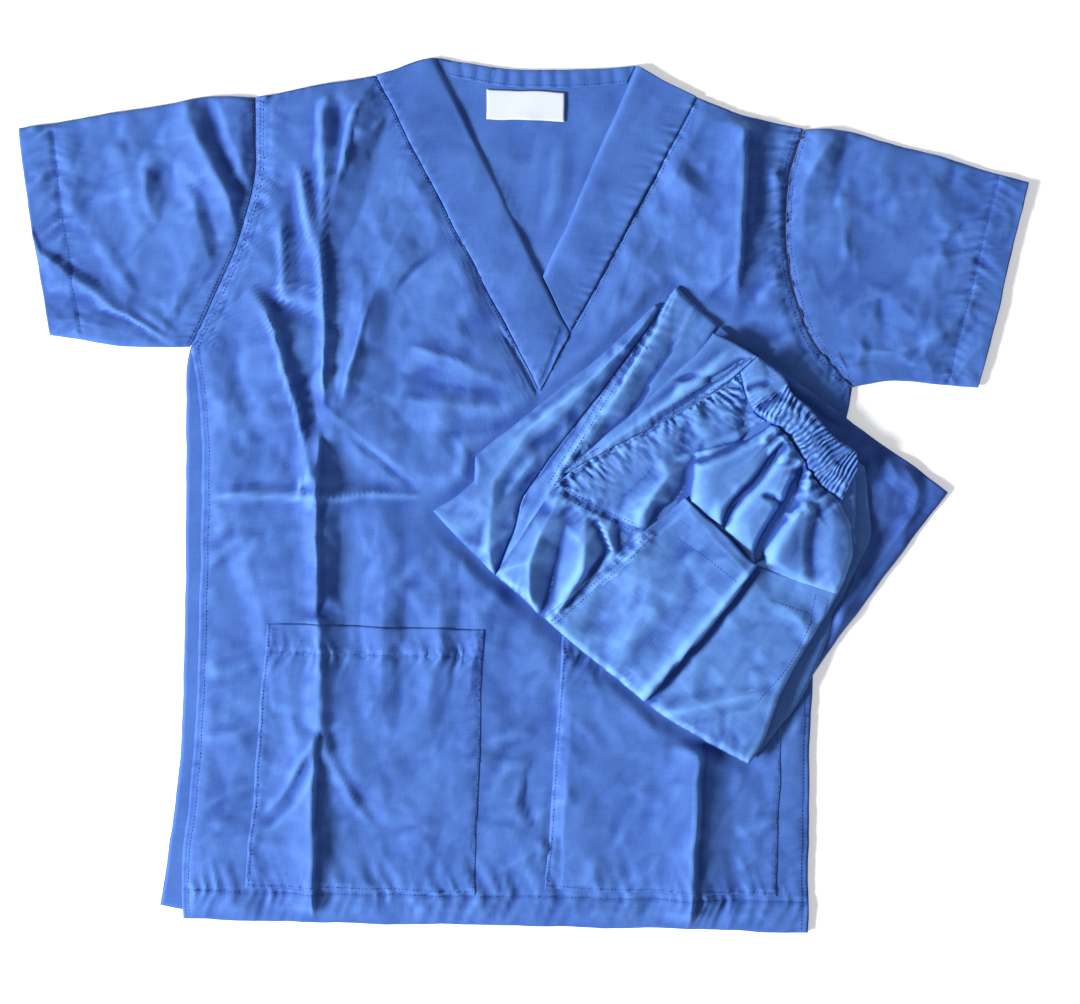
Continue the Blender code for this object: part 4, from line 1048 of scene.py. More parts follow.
SLEEVE_R_BREAKS = (
    Break((0, 0, 0, 0, 0, 0),
          ((-432, 319), (-360, 336), (-275, 349), (-222, 349), (-222, 234), (-283, 124))),
    Break((0, 0, 0), ((-360, 115), (-415, 124), (-428, 251))),
    Break((2, 5.5, 6, 5, 3.5, 1),
          ((-289, 336), (-278, 302), (-263, 275), (-249, 251), (-244, 232), (-244, 214))),
    Break((-1, -2.5, -2.5, -2, -1), ((-270, 336), (-258, 300), (-248, 275), (-238, 255), (-240, 232))),
    Break((1, 3, 3, 1.5), ((-261, 336), (-249, 306), (-238, 280), (-231, 260))),
    Break((1, 4.5, 4.5, 2.5), ((-287, 265), (-280, 246), (-272, 221), (-265, 198))),
    Break((-0.5, -2, -2, -0.5), ((-275, 258), (-268, 238), (-260, 215), (-255, 198))),
    Break((1, 4, 4.5, 2), ((-317, 300), (-321, 280), (-320, 258), (-317, 236))),
    Break((-0.5, -2, -2, -0.5), ((-295, 289), (-300, 268), (-306, 248), (-309, 232))),
    Break((0.5, 2, 2), ((-290, 175), (-295, 161), (-306, 149))),
    Break((-1.5, -1.5, -0.5), ((-278, 170), (-289, 156), (-295, 144))),
    Break((-1, -2, -1.5, 0), ((-409, 214), (-374, 188), (-338, 161), (-302, 137))),
    Break((3, 5, 4.5, 1), ((-411, 207), (-377, 181), (-341, 154), (-302, 131))),
    Break((-1, -2.5, -2, 0), ((-408, 172), (-374, 164), (-340, 151), (-304, 127))),
    Break((1.5, 2.5, 2, 1), ((-404, 151), (-363, 146), (-333, 137), (-311, 125))),
    Break((0, 2, 2.5, 1), ((-367, 311), (-374, 285), (-379, 265), (-384, 243))),
    Break((0, -2, -1.5, 0), ((-350, 297), (-357, 272), (-367, 251), (-374, 229))),
    Break((0.5, 2, 1.5), ((-363, 217), (-350, 198), (-334, 175))),
    Break((-0.5, -1.5, -1), ((-350, 217), (-338, 198), (-324, 170))),
)
SLEEVE_L_BREAKS = (
    Break((0, 0, 0, 0, 0, 0), ((218, 328), (286, 319), (354, 298), (439, 277), (405, 141), (392, 81))),
    Break((0, 0, 0, 0, 0), ((320, 88), (278, 90), (227, 158), (214, 217), (214, 285))),
    Break((1, 4.5, 4.5, 2.5), ((257, 314), (255, 295), (245, 275), (235, 256))),
    Break((-1, -3, -3, -1), ((274, 311), (271, 285), (266, 263), (261, 246))),
    Break((0.5, 2.5, 2.5, 1), ((308, 300), (303, 277), (301, 255), (305, 234))),
    Break((0.5, 1.5, 1.5, 0.5), ((267, 251), (270, 234), (272, 217), (272, 198))),
    Break((-0.5, -1.5, -1.5, -0.5), ((276, 251), (278, 234), (278, 217), (278, 198))),
    Break((0, -2, -2.5, -2, -0.5), ((368, 229), (339, 207), (308, 192), (278, 180), (249, 166))),
    Break((0.5, 2.5, 2.5, 2, 0.5), ((378, 207), (342, 187), (310, 171), (279, 159), (255, 141))),
    Break((1, 3.5, 3.5, 1.5), ((327, 113), (342, 130), (361, 144), (380, 158))),
    Break((-1, -3, -2.5, -0.5), ((347, 105), (361, 119), (373, 134), (385, 147))),
    Break((0.5, 2, 2, 0.5), ((364, 98), (374, 113), (388, 129), (398, 141))),
    Break((1, 2.5, 2.5, 1), ((267, 124), (291, 121), (317, 120), (339, 119))),
    Break((-1.5, -2, -2, -1), ((274, 110), (296, 112), (320, 110), (342, 107))),
    Break((0.5, 2, 2), ((346, 277), (351, 258), (346, 239))),
    Break((0, -1.5, -1.5), ((364, 255), (368, 234), (361, 217))),
    Break((0.5, 2, 1.5), ((288, 166), (291, 147), (284, 129))),
    Break((0, -1.5, -1), ((303, 166), (306, 147), (303, 129))),
)
sleeve_r_crumples = crumples(((-425, 130), (-230, 335)), 46, 2, (18, 60), (5, 13), (0.3, 1.2), 60, 60)
sleeve_l_crumples = crumples(((240, 90), (425, 310)), 46, 3, (18, 60), (5, 13), (0.3, 1.2), 110, 60)


def height_sleeve(p, folds, breaks, small, hem, armhole, inward, seed):
    """A sleeve's upper face. Its cloth lies to the left of its hem going up if `inward` is 1, else -1."""
    z = 0.6 * folds_height(p, folds) + folds_height(p, small) + 0.8 * breaks_height(p, breaks)
    z += 0.8 * waves(p, 80, seed) + 1.6 * facets(p, 58, seed + 1, 1.3, 80) + 1.3 * facets(p, 26, seed + 2)
    z += 0.7 * facets(p, 12, seed + 3) + 3.6
    from_arm = gap_to(p, even(armhole, 40))
    from_hem = gap_to(p, even(hem, 20))
    z = np.maximum(z - 2.2, 0.3 * (z - 2.2)) * smooth((from_arm + 3) / 18) + 0.4
    hem_line = even(shifted(hem, inward * SLEEVE_HEM), 30)
    seams = (
        Seam(even(armhole, 40), 1.0, 2.4, 0.8, 6, 9, seed + 2),
        Seam(hem_line, 0.5, 1.8, 1.7, 11, 12, seed + 5),
    )
    z += 0.4 * smooth((SLEEVE_HEM - from_hem) / 2) + seams_height(p, seams)
    return FRONT + CLEAR + softened(z + CLEAR) - CLEAR


def height_sleeve_r(p):
    creases = SLEEVE_R_FOLDS, SLEEVE_R_BREAKS, sleeve_r_crumples
    return height_sleeve(p, *creases, sleeve_hem_r, armhole_r, -1, 60)


def height_sleeve_l(p):
    creases = SLEEVE_L_FOLDS, SLEEVE_L_BREAKS, sleeve_l_crumples
    return height_sleeve(p, *creases, sleeve_hem_l, armhole_l, 1, 70)


def height_sleeve_under(p):
    return np.full(len(p), SKIN * 0.6)


# ---- Creases of the folded trousers ----------------------------------------------------------
LEG_BACK_FOLDS = (
    Fold(1.6, 6, 8, 0.8, 0.25, ((76, 116), (79, 125), (90, 119))),
    Fold(2.0, 10, 14, 0.6, 0.3, ((62, 100), (40, 76), (12, 53))),
    Fold(-1.8, 12, 14, 0.5, 0.3, ((51, 84), (29, 59), (-4, 34))),
    Fold(2.0, 9, 9, 0.8, 0.3, ((15, 37), (-1, 20), (-15, -2))),
)
LEG_BACK_BREAKS = (
    Break((1, 2, 2, 2, 2, 1, 0),
          ((126, 172), (90, 145), (62, 117), (29, 89), (-26, 59), (-60, 37), (-87, -14))),
    Break((2, 5, 6.5, 6.5, 6, 5, 3, 1),
          ((115, 159), (91, 132), (68, 109), (37, 81), (5, 56), (-32, 26), (-54, 1), (-71, -15))),
    Break((1, 0, -1, -2, -2.5, -2.5, 0),
          ((118, 159), (95, 119), (65, 81), (35, 42), (5, 4), (-6, -30), (-24, -69))),
    Break((5.5, 6, 5, 2), ((-24, 15), (-29, -18), (-29, -46), (-27, -64))),
    Break((1, 1.5, 0), ((-62, -30), (-46, -43), (-32, -65))),
)
LEG_FRONT_FOLDS = (
    Fold(2.0, 8, 9, 0.7, 0.3, ((15, -13), (5, -30), (-7, -52))),
)
LEG_FRONT_BREAKS = (
    Break((0, -1, -2, -2, -1, 0), ((119, 161), (95, 119), (60, 82), (3, 5), (-8, -30), (-24, -70))),
    Break((2.5, 5, 6, 6, 5, 4, 1),
          ((131, 178), (104, 127), (76, 85), (52, 48), (26, 8), (5, -35), (-21, -70))),
    Break((1, -1, -2, -2, -1, 0), ((151, 167), (123, 120), (101, 81), (68, 48), (35, 9), (-18, -74))),
)
LEG_SEAM = ((130, 175), (123, 161), (84, 100), (40, 26), (26, 4))
LEG_END_FOLDS = (
    Fold(2.6, 30, 26, 0.4, 0.3, ((292, 37), (305, -2), (303, -38))),
    Fold(3.6, 14, 10, 0.8, 0.2, ((341, -2), (305, -49), (275, -93), (258, -126))),
    Fold(-2.6, 12, 14, 0.5, 0.25, ((325, -18), (292, -65), (267, -107))),
    Fold(3.0, 12, 12, 0.8, 0.2, ((289, -30), (286, -57), (272, -90), (256, -121))),
    Fold(4.0, 14, 14, 0.8, 0.12, ((166, 142), (140, 103), (101, 69), (68, 37))),
    Fold(-3.0, 12, 12, 0.5, 0.25, ((173, 125), (145, 92), (117, 70))),
    Fold(3.2, 12, 14, 0.6, 0.25, ((187, 134), (223, 100), (258, 76), (283, 59))),
    Fold(-3.0, 10, 12, 0.5, 0.25, ((211, 98), (250, 65), (278, 42))),
    Fold(3.2, 10, 10, 0.8, 0.25, ((319, 26), (333, 4), (328, -18))),
    Fold(2.6, 12, 10, 0.7, 0.3, ((303, 37), (317, 15), (333, 1))),
)
SEAT_FOLDS = (
    # The long pulls on the left of the puffs.
    Fold(-5.0, 9, 7, 0.9, 0.14, ((140, 27), (162, 35), (181, 44), (195, 52), (210, 62))),
    Fold(3.5, 10, 12, 0.6, 0.2, ((148, 35), (167, 42), (189, 53))),
    Fold(3.0, 22, 18, 0.5, 0.3, ((184, 81), (167, 67), (145, 42))),
    Fold(-2.6, 14, 14, 0.5, 0.3, ((195, 81), (189, 67), (181, 53))),
    Fold(2.6, 12, 14, 0.6, 0.3, ((145, 84), (145, 67), (137, 45))),
    Fold(-2.2, 12, 12, 0.5, 0.3, ((137, 67), (137, 48), (131, 29))),
    # The turned part of the pocket side.
    Fold(-2.6, 5, 3, 0.7, 0.05, ((199, -59), (180, -84), (142, -131), (104, -176))),
    Fold(3.6, 2, 34, 0.8, 0.10, ((196, -57), (178, -82), (140, -129), (101, -174))),
    Fold(2.6, 22, 20, 0.5, 0.3, ((117, -85), (101, -110), (65, -135))),
    Fold(-2.4, 18, 18, 0.5, 0.3, ((90, -65), (70, -90), (48, -124))),
    Fold(2.6, 12, 12, 0.7, 0.3, ((112, -186), (156, -176), (203, -165))),
    Fold(2.6, 12, 10, 0.7, 0.3, ((79, -60), (93, -46), (112, -30))),
    Fold(2.2, 12, 12, 0.6, 0.3, ((209, -88), (234, -107), (239, -129))),
)
# Flat facets: the gathers that fan out below the crotch seam, and the slack above the pocket's corner.
SEAT_BREAKS = (
    Break((0, 0, 0, 0, 0), ((29, 7), (10, -18), (-8, -45), (-26, -65), (-23, -71))),
    Break((2, 6, 10, 10, 4), ((25, -12), (13, -33), (5, -57), (4, -79), (10, -99))),
    Break((0.5, -2, -2.5, -2), ((35, -23), (30, -46), (24, -71), (15, -102))),
    Break((2, 9, 10.5, 7, 1), ((52, -18), (51, -43), (50, -64), (39, -81), (26, -101))),
    Break((0, -2, -2, -1), ((64, -25), (71, -45), (56, -70), (37, -92))),
    Break((2.5, 4, 3, 1), ((60, -16), (70, -34), (75, -50), (78, -67))),
    Break((1, -4, -3, 0), ((78, -18), (84, -34), (82, -45), (84, -57))),
    Break((2, 3.5, 2), ((86, -14), (94, -24), (100, -31))),
    Break((1.5, 5.5, 8, 8, 4), ((127, 29), (119, 15), (108, -2), (101, -14), (97, -27))),
    Break((-1, -3, -3.5, -3, 0), ((138, 26), (137, 9), (126, -6), (112, -18), (104, -28))),
    Break((0, 0, 0, 0), ((145, 37), (145, 15), (140, -7), (112, -35))),
    Break((0, 0, 0, 0, 0), ((41, 1), (62, -9), (84, -2), (101, 15), (117, 34))),
    Break((0, 0, 0), ((14, -110), (43, -93), (95, -43))),
)
# The slack cloth between the waistband and the pocket puffs up between these valleys.
PUFF_ZONE = (
    (145, 37), (184, 46), (214, 62), (236, 30), (264, 1), (276, -24),
    (278, -57), (264, -88), (234, -78), (196, -59), (167, -28), (140, -5),
)
PUFF_VALLEYS = (
    ((218, 42), (211, 34), (203, 22), (195, 11), (182, -2), (174, -12), (169, -23), (166, -30)),
    ((236, 29), (231, 15), (223, -2), (213, -17), (203, -32), (197, -49), (195, -60)),
)
PUFF_FOLDS = (
    Fold(-9.0, 12, 9, 0.5, 0.12, ((236, 29), (229, 9), (221, -9), (211, -25), (202, -42), (195, -60))),
    Fold(-5.0, 7, 7, 0.6, 0.12, ((218, 42), (203, 22), (182, -2), (174, -12), (169, -23), (166, -30))),
    Fold(5.0, 30, 6, 0.9, 0.12, ((241, -4), (226, -20), (210, -41), (199, -54))),
    Fold(-3.5, 16, 10, 0.6, 0.2, ((248, -2), (245, -27), (242, -52), (245, -79))),
    Fold(-3.5, 5, 6, 0.7, 0.3, ((198, 1), (210, -2), (218, -12))),
    Fold(3.5, 6, 6, 0.8, 0.3, ((216, -12), (223, -17), (232, -10))),
    Fold(3.5, 6, 6, 0.8, 0.3, ((218, 59), (205, 49), (196, 41))),
    Fold(3.5, 6, 6, 0.8, 0.3, ((225, 51), (212, 41), (205, 31))),
    Fold(3.5, 6, 6, 0.8, 0.3, ((232, 42), (223, 35), (213, 26))),
    Fold(3.5, 6, 6, 0.8, 0.3, ((239, 33), (232, 20), (229, 4))),
    Fold(3.5, 6, 6, 0.8, 0.3, ((246, 23), (239, 15), (236, 1))),
)
RISE_FOLDS = (
    Fold(2.6, 8, 9, 0.8, 0.2, ((181, 127), (140, 89), (90, 56), (51, 23))),
    Fold(-2.0, 7, 8, 0.5, 0.25, ((178, 112), (140, 81), (95, 53))),
    Fold(2.4, 8, 8, 0.7, 0.3, ((162, 100), (140, 95), (123, 81))),
    Fold(-3.0, 5, 6, 0.8, 0.2, ((123, 97), (145, 99), (167, 102), (181, 111), (196, 116))),
)

SEAM_JOIN = ((203, 111), (173, 94), (112, 58), (57, 25), (29, 6))
CROTCH_SEAM = ((29, 6), (62, -13), (97, -28))
POCKET_TOP = ((134, -2), (156, -21), (195, -58), (198, -59), (260, -83))
POCKET_SIDE = ((109, -27), (76, -57), (18, -107))
POCKET_HEM_LEFT = ((127, -34), (140, -43), (162, -59), (180, -74))
POCKET_HEM_RIGHT = ((206, -86), (223, -93), (243, -101))
POCKET_STRIP = ((246, -81), (240, -107), (228, -135), (195, -176))
BAR_TACK = ((238, -106), (250, -110), (256, -85))
POCKET_FOLD = ((196, -59), (178, -82), (102, -173))
HIP_POCKET_BREAKS = (
    Break((0, 0, 0, 0, 0), ((136, 1), (201, -60), (266, -87), (264, -157), (204, -228))),
    Break((0, 0, 0, 0), ((204, -228), (102, -170), (18, -104), (57, -63))),
    Break((1.5, 3, 3.5, 3, 1.5), ((140, -14), (164, -40), (186, -63), (169, -89), (145, -118))),
    Break((-0.5, -1.8, -2, -1, 0), ((119, -26), (135, -55), (145, -80), (126, -114), (109, -143))),
    Break((0.5, 2.2, 2.5, 1), ((99, -45), (106, -72), (99, -99), (84, -123))),
    Break((0, -1.5, -1.5, 0), ((75, -67), (80, -89), (70, -108), (58, -119))),
    Break((0.5, 2, 2, 0.5), ((220, -74), (215, -99), (204, -123), (187, -147))),
    Break((0, -1.5, -1.8, -0.5), ((240, -85), (235, -114), (227, -140), (211, -165))),
    Break((0, -1.5, -1.8, -0.5), ((142, -169), (169, -170), (194, -164), (223, -155))),
    Break((0.5, 2.2, 2.5, 1), ((138, -184), (167, -186), (196, -179), (221, -172))),
)

seat_folded_edges = seat_sides[0], seat_sides[3]
seat_crumples = crumples(((-20, -220), (280, 100)), 80, 4, (16, 50), (5, 12), (0.2, 0.8), 130, 60)
leg_crumples = crumples(((-80, -230), (360, 180)), 110, 5, (20, 60), (5, 12), (0.3, 1.0), 45, 40)

SEAT_SEAMS = (
    Seam(smooth_line(SEAM_JOIN), 1.4, 1.8, 2.5, 6, 16, 81),
    Seam(smooth_line(CROTCH_SEAM), 1.2, 2.2, 1.0, 8, 9, 84),
    Seam(smooth_line(POCKET_SIDE), 0.3, 2.0, 0.7, 8, 8, 87),
    Seam(even(seat_sides[0], 40), 0.0, 2.0, 0.9, 9, 8, 88),
    Seam(even(waist_sides[0], 30), 1.5, 3.0, 2.0, 9, 16, 89),
)
hip_pocket_loop = outline_of(hip_pocket_sides)


def seat_base(p):
    """The trousers' front panel on top of the bundle, before the slack under the waist puffs it up."""
    z = folds_height(p, SEAT_FOLDS) + folds_height(p, seat_crumples) + 0.4 * waves(p, 40, 80)
    z += 1.5 * facets(p, 38, 82, 1.4, 50) + 0.8 * facets(p, 16, 83) + seams_height(p, SEAT_SEAMS)
    z += breaks_height(p, SEAT_BREAKS)
    edge = np.minimum(*(gap_to(p, even(side, 40)) for side in seat_folded_edges))
    return SEAT + z - 6.5 * (1 - rounded(edge + 0.5, 7))


def puffs_height(p):
    """The slack between the waistband and the hip pocket, parted by two deep valleys."""
    gap = np.minimum(*(gap_to(p, smooth_line(line)) for line in PUFF_VALLEYS))
    inside = depth_in(p, np.array(PUFF_ZONE, float))
    z = 7.5 * rounded(np.clip(np.minimum(gap, inside), 0, None), 22)
    return z + folds_height(p, PUFF_FOLDS) * smooth(inside / 6 + 0.4)


def height_seat(p):
    covered = smooth(depth_in(p, hip_pocket_loop) / 6)
    return seat_base(p) + puffs_height(p) * (1 - covered)


def height_hip_pocket(p):
    """The hip pocket: part of it is turned over along a fold, and its mouth stands a little open."""
    edge = depth_in(p, hip_pocket_loop)
    step = beside(p, smooth_line(POCKET_FOLD))[0]
    turned = np.clip(0.5 - step, 0, 1) * np.clip(1 + step / 60, 0, 1)
    mouth = gap_to(p, smooth_line(POCKET_TOP))
    open_lip = 2.6 * np.exp(-mouth / 16)
    z = seat_base(p) + 0.8 * breaks_height(p, HIP_POCKET_BREAKS)
    return z + SKIN + 0.1 + 0.6 * rounded(edge, 2.5) + 5.5 * turned + open_lip


def height_rise(p):
    z = folds_height(p, RISE_FOLDS) + 0.3 * waves(p, 30, 90)
    z += seams_height(p, (Seam(smooth_line(SEAM_JOIN), 1.4, 1.8, 1.0, 7, 8, 81),))
    edge = depth_in(p, outline_of(rise_sides))
    return CORE_TOP + 2.4 + z - 2.0 * (1 - rounded(edge + 0.6, 4))


def height_handled(p, seed):
    """Facets of cloth that has been handled, in three sizes."""
    return 1.3 * facets(p, 42, seed, 1.6, 45) + 0.8 * facets(p, 18, seed + 1) + 0.35 * facets(p, 9, seed + 2)


def height_leg_back(p):
    z = folds_height(p, LEG_BACK_FOLDS) + folds_height(p, leg_crumples) + height_handled(p, 91)
    z += breaks_height(p, LEG_BACK_BREAKS)
    return LEG_FOOT + 3.6 + np.maximum(z, -2.2)


def height_leg_front(p):
    z = folds_height(p, LEG_FRONT_FOLDS) + folds_height(p, leg_crumples) + height_handled(p, 92)
    z += seams_height(p, (Seam(smooth_line(LEG_SEAM), 1.2, 1.8, 1.2, 8, 8, 95),))
    z += breaks_height(p, LEG_FRONT_BREAKS)
    return LEG_FOOT + 4.2 + np.maximum(z, -2.2)


def height_leg_foot(p):
    return np.full(len(p), LEG_FOOT + 0.1)


def past_the_side(p):
    """0 on the top and 1 past its side, where the leg end hangs down to the floor."""
    return smooth(beside(p, even(side_l, 40))[0] / -40 + 0.3)


def height_leg_end(p):
    z = 1.3 * folds_height(p, LEG_END_FOLDS) + folds_height(p, leg_crumples) + 1.4 * height_handled(p, 93)
    hem_line = even(shifted(leg_end_sides[3], LEG_HEM), 30)
    z += seams_height(p, (Seam(hem_line, 0.4, 1.6, 0.5, 8, 9, 94),))
    return LEG_END_FOOT + 6.4 - 2.6 * past_the_side(p) + np.maximum(z, -1.5)


def height_leg_end_foot(p):
    return LEG_FOOT + 0.4 - (LEG_FOOT + 0.1) * past_the_side(p)


# ---- The elastic waistband -------------------------------------------------------------------
GATHER_PITCH = 4.0
WAIST_ROWS = 0.04, 0.36, 0.68  # the elastic's stitched rows, as shares of the width
WAIST_FOLDS = (
    Fold(-3.0, 6, 6, 0.7, 0.2, ((195, 69), (206, 78), (220, 87))),
    Fold(-2.6, 6, 6, 0.7, 0.2, ((186, 88), (198, 93), (209, 94))),
    Fold(2.6, 7, 7, 0.7, 0.2, ((203, 60), (216, 73), (224, 78))),
)


def height_waist(p):
    """The elastic waistband: ridges across it, pinched in by three stitched rows."""
    seam, arc = beside(p, even(waist_sides[0], 60))
    across = np.clip(np.abs(seam) / WAIST_WIDTH, 0, 1)
    place = np.stack([arc, across * WAIST_WIDTH], axis=1)
    along = arc + 3.0 * across + 2.4 * waves(place, 24, 96) + 1.2 * waves(place, 9, 97)
    ridge = np.abs(np.sin(np.pi * along / GATHER_PITCH)) ** 0.8 - 0.5 + 0.35 * facets(place, 3.5, 99)
    uneven = 1 + 0.8 * waves(place, 9, 98)
    pinch = 1 - 0.6 * sum(np.exp(-(((across - row) / 0.06) ** 2)) for row in WAIST_ROWS)
    gathered = 0.12 + 0.88 * smooth((arc - 20) / 16)
    broad = folds_height(p, WAIST_FOLDS)
    return SEAT + 3.2 + 1.8 * np.sin(np.pi * across) ** 0.7 + 2.1 * ridge * uneven * pinch * gathered + broad


def height_waist_foot(p):
    return np.full(len(p), CORE_TOP + 0.5)


# ---- Building --------------------------------------------------------------------------------
def on_facing(p):
    """The turned-in strip of the back neck, with small pleats where it is stitched."""
    edge = gap_to(p, even(facing_sides[1], 20))
    ticks = np.abs(np.sin(np.pi * (p[:, 0] + 3 * waves(p, 30, 97)) / 13)) * (0.8 + 0.6 * waves(p, 40, 98))
    return BACK + 1.0 + 1.1 * ticks * (0.5 + 0.5 * smooth(edge / 4))


def on_label(p):
    edge = depth_in(p, outline_of(label_sides))
    return BACK + 2.4 + 0.25 * waves(p, 30, 99) - 0.4 * (1 - rounded(edge, 2))


back = lay("back_panel", back_sides, (110, 140), height_back)
front = lay("front_panel", front_sides, (205, 225), height_front, spots=((0.2, 0.07), (0.83, 0.06)))
sleeve_r = lay_tube("right_sleeve", sleeve_r_sides, (90, 80), height_sleeve_r, height_sleeve_under)
sleeve_l = lay_tube("left_sleeve", sleeve_l_sides, (90, 80), height_sleeve_l, height_sleeve_under)
band_r = lay("right_neck_band", band_r_sides, (24, 150), height_band_r)
band_l = lay("left_neck_band", band_l_sides, (24, 130), height_band_l)
facing = lay("back_neck_facing", facing_sides, (90, 12), on_facing)
label = lay("blank_label", label_sides, (44, 20), on_label, wall=0.4)
pocket_r = lay("right_pocket", pocket_r_sides, (80, 90), height_pocket_r)
pocket_l = lay("left_pocket", pocket_l_sides, (80, 90), height_pocket_l)
leg_end = lay_tube("leg_end", leg_end_sides, (110, 80), height_leg_end, height_leg_end_foot)
leg_back = lay_tube("leg_back", leg_back_sides, (120, 40), height_leg_back, height_leg_foot, closed=True)
leg_front = lay_tube("leg_front", leg_front_sides, (120, 30), height_leg_front, height_leg_foot, closed=True)
seat = lay("seat", seat_sides, (160, 135), height_seat)
rise = lay("rise", rise_sides, (90, 20), height_rise)
hip_pocket = lay("hip_pocket", hip_pocket_sides, (90, 90), height_hip_pocket)
waist = lay_tube("waistband", waist_sides, (260, 22), height_waist, height_waist_foot, 3, closed=True)


def leaf(name, sides, low, high):
    """One folded layer of the bundle, with rounded edges."""
    return lay_tube(name, sides, (60, 40), lambda p: high + 0.3 * waves(p, 40, 95 + int(low)),
                    lambda p: np.full(len(p), low), (high - low) / 2, closed=True)


core_sides = four_sides("trousers_core", *ALONG_SEAT)
under = leaf("under_leg", under_leg_sides, 6.4, 8.6)
leaves = [leaf("folded_layer_%d" % (k + 1), core_sides, 8.8 + 2.2 * k, 10.8 + 2.2 * k) for k in range(3)]

# Each sheet: the CAD node it takes the place of, its sides, how many layers its cut goes round,
# how it is held, and what it rests on.
CLOTHS = (
    (back, "top_back", back_sides, 1, "laid", ()),
    (front, "top_front", front_sides, 1, "laid", (back,)),
    (sleeve_r, "sleeve_right", sleeve_r_sides, 2, "laid", ()),
    (sleeve_l, "sleeve_left", sleeve_l_sides, 2, "laid", ()),
    (band_r, "neck_band_right", band_r_sides, 1, "laid", (front, back)),
    (band_l, "neck_band_left", band_l_sides, 1, "laid", (front, back)),
    (facing, "neck_facing", facing_sides, 1, "laid", (back,)),
    (pocket_r, "pocket_right", pocket_r_sides, 1, "laid", (front,)),
    (pocket_l, "pocket_left", pocket_l_sides, 1, "laid", (front,)),
    (leg_end, "trousers_leg_end", leg_end_sides, 2, "folded", (front,)),
    (leg_back, "trousers_leg_back", leg_back_sides, 1, "folded", (front,)),
    (leg_front, "trousers_leg_front", leg_front_sides, 1, "folded", (front,)),
    (under, "trousers_under_leg", under_leg_sides, 1, "folded", (leg_end,)),
    (leaves[0], "trousers_core", core_sides, 1, "folded", (under,)),
    (leaves[1], None, core_sides, 1, "folded", (leaves[0],)),
    (leaves[2], None, core_sides, 1, "folded", (leaves[1],)),
    (rise, "trousers_rise", rise_sides, 1, "folded", (leaves[2],)),
    (seat, "trousers_seat", seat_sides, 1, "folded", (leaves[2],)),
    (hip_pocket, "trousers_pocket", hip_pocket_sides, 1, "folded", (seat,)),
    (waist, "trousers_waistband", waist_sides, 1, "gathered", (leaves[2],)),
)
for made, node, sides, layers, held, rests_on in CLOTHS:
    bundled = held != "laid"
    # The bundle takes the lit copy of the cloth, painted lighter.
    cloth = poplin_lit_bundle if bundled else poplin
    # The leg end takes the shaded copy of the cloth, painted darker.
    register(made, [node] if node else [], poplin_shaded_leg_end if made is leg_end else cloth)
register(label, ["neck_label"], label_white)

# ---- Stitching -------------------------------------------------------------------------------
# Each row: the line it follows, how far to that line's left it runs, and what it lies on.
STITCHING = [
    (armhole_r, 3, height_sleeve_r),
    (armhole_l, -3, height_sleeve_l),
    (sleeve_hem_r, -SLEEVE_HEM, height_sleeve_r),
    (sleeve_hem_l, SLEEVE_HEM, height_sleeve_l),
    (hem_front, HEM, height_front),
    (pocket_r_sides[1], -POCKET_HEM, height_pocket_r),
    (pocket_l_sides[1], -POCKET_HEM, height_pocket_l),
]
for sides, height in ((pocket_r_sides, height_pocket_r), (pocket_l_sides, height_pocket_l)):
    STITCHING += [(sides[0], 2.5, height), (sides[2], -2.5, height), (sides[3], 2.5, height)]
STITCHING += [
    (armhole_r, -4, height_front),
    (armhole_l, 4, height_front),
    (v_left, -3, height_front),
    (v_right, 3, height_front),
    (facing_sides[0], 2, on_facing),
    (smooth_line(SEAM_JOIN), -3, height_seat),
    (smooth_line(SEAM_JOIN), -9, height_seat),
    (smooth_line(CROTCH_SEAM), -3, height_seat),
    (smooth_line(CROTCH_SEAM), 3, height_seat),
    (smooth_line(POCKET_SIDE), 2, height_hip_pocket),
    (smooth_line(POCKET_SIDE), 6, height_hip_pocket),
    (smooth_line(POCKET_HEM_LEFT), 0, height_hip_pocket),
    (smooth_line(POCKET_HEM_RIGHT), 0, height_hip_pocket),
    (smooth_line(POCKET_STRIP), 0, height_hip_pocket),
    (smooth_line(BAR_TACK), 0, height_hip_pocket),
    (leg_end_sides[3], LEG_HEM, height_leg_end),
    (smooth_line(LEG_SEAM), -3, height_leg_front),
    (smooth_line(LEG_SEAM), -8, height_leg_front),
    (side_r, -6, height_front),
    (side_l, 6, height_front),
]
for line, away, height in STITCHING:
    stitch(shifted(line, away), height)
stitches = new_object("stitching", stitch_bm)
stitches.data.shade_smooth()
register(stitches, [], thread_blue)


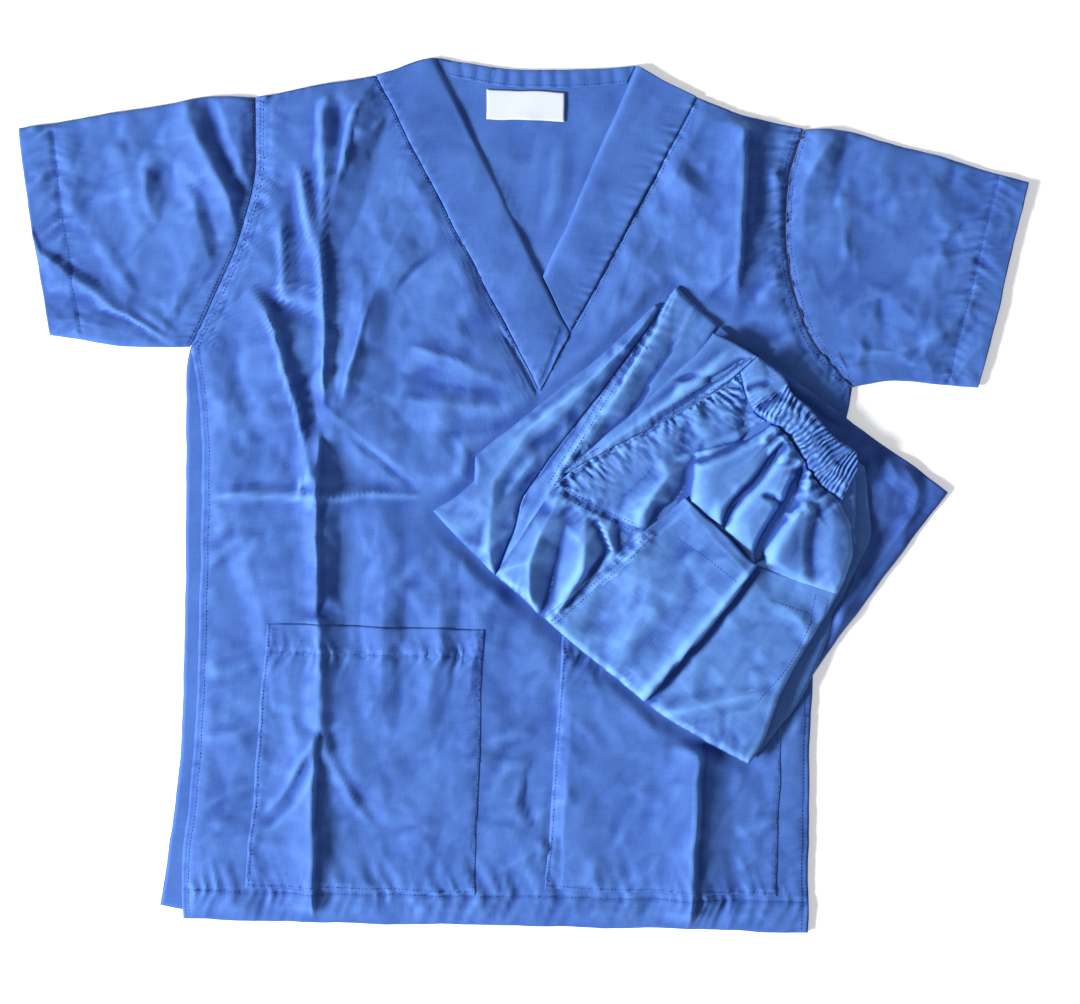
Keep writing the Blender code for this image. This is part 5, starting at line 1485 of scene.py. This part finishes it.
# ---- Floor, lights, camera -------------------------------------------------------------------
FLOOR_HALF, FLOOR_DROP = 6.0, 0.0006  # the floor lies a hair below the cloth
FLOOR_GLOW = 0.3

pale_floor = bpy.data.materials.new("pale_floor")
pale_floor.use_nodes = True
surface = pale_floor.node_tree.nodes["Principled BSDF"].inputs
surface["Base Color"].default_value = (0.93, 0.93, 0.94, 1)
surface["Roughness"].default_value = 0.9
surface["Emission Color"].default_value = (1, 1, 1, 1)
surface["Emission Strength"].default_value = FLOOR_GLOW

floor_bm = bmesh.new()
bmesh.ops.create_grid(floor_bm, x_segments=1, y_segments=1, size=FLOOR_HALF,
                      matrix=Matrix.Translation((0, 0, -FLOOR_DROP)))
floor = new_object("floor", floor_bm)
floor.data.materials.append(pale_floor)


def area_light(name, place, size, power, color):
    """A square lamp aimed at the middle of the set."""
    lamp = bpy.data.lights.new(name, "AREA")
    lamp.size = size
    lamp.energy = power
    lamp.color = color
    made = bpy.data.objects.new(name, lamp)
    made.location = place
    made.rotation_euler = (-Vector(place)).to_track_quat("-Z", "Y").to_euler()
    bpy.context.scene.collection.objects.link(made)


area_light("key", (-4.2, -1.5, 2.2), size=1.1, power=640, color=(1.0, 0.98, 0.95))
area_light("fill", (0.8, 1.2, 2.6), size=2.0, power=10, color=(0.95, 0.97, 1.0))

world = bpy.data.worlds.new("studio")
world.use_nodes = True
sky = world.node_tree.nodes["Background"].inputs
sky["Color"].default_value = (0.94, 0.97, 1.0, 1)
sky["Strength"].default_value = 0.26
bpy.context.scene.world = world
bpy.context.scene.view_settings.view_transform = "Standard"

CAMERA_HEIGHT, VIEW_WIDTH = 1.6, 0.918  # m; the width is what the camera sees at the floor
SENSOR = 36
lens = bpy.data.cameras.new("camera")
lens.sensor_width = SENSOR
lens.lens = SENSOR * CAMERA_HEIGHT / VIEW_WIDTH
camera = bpy.data.objects.new("camera", lens)
camera.location = (0.014, -0.0055, CAMERA_HEIGHT)
bpy.context.scene.collection.objects.link(camera)
bpy.context.scene.camera = camera
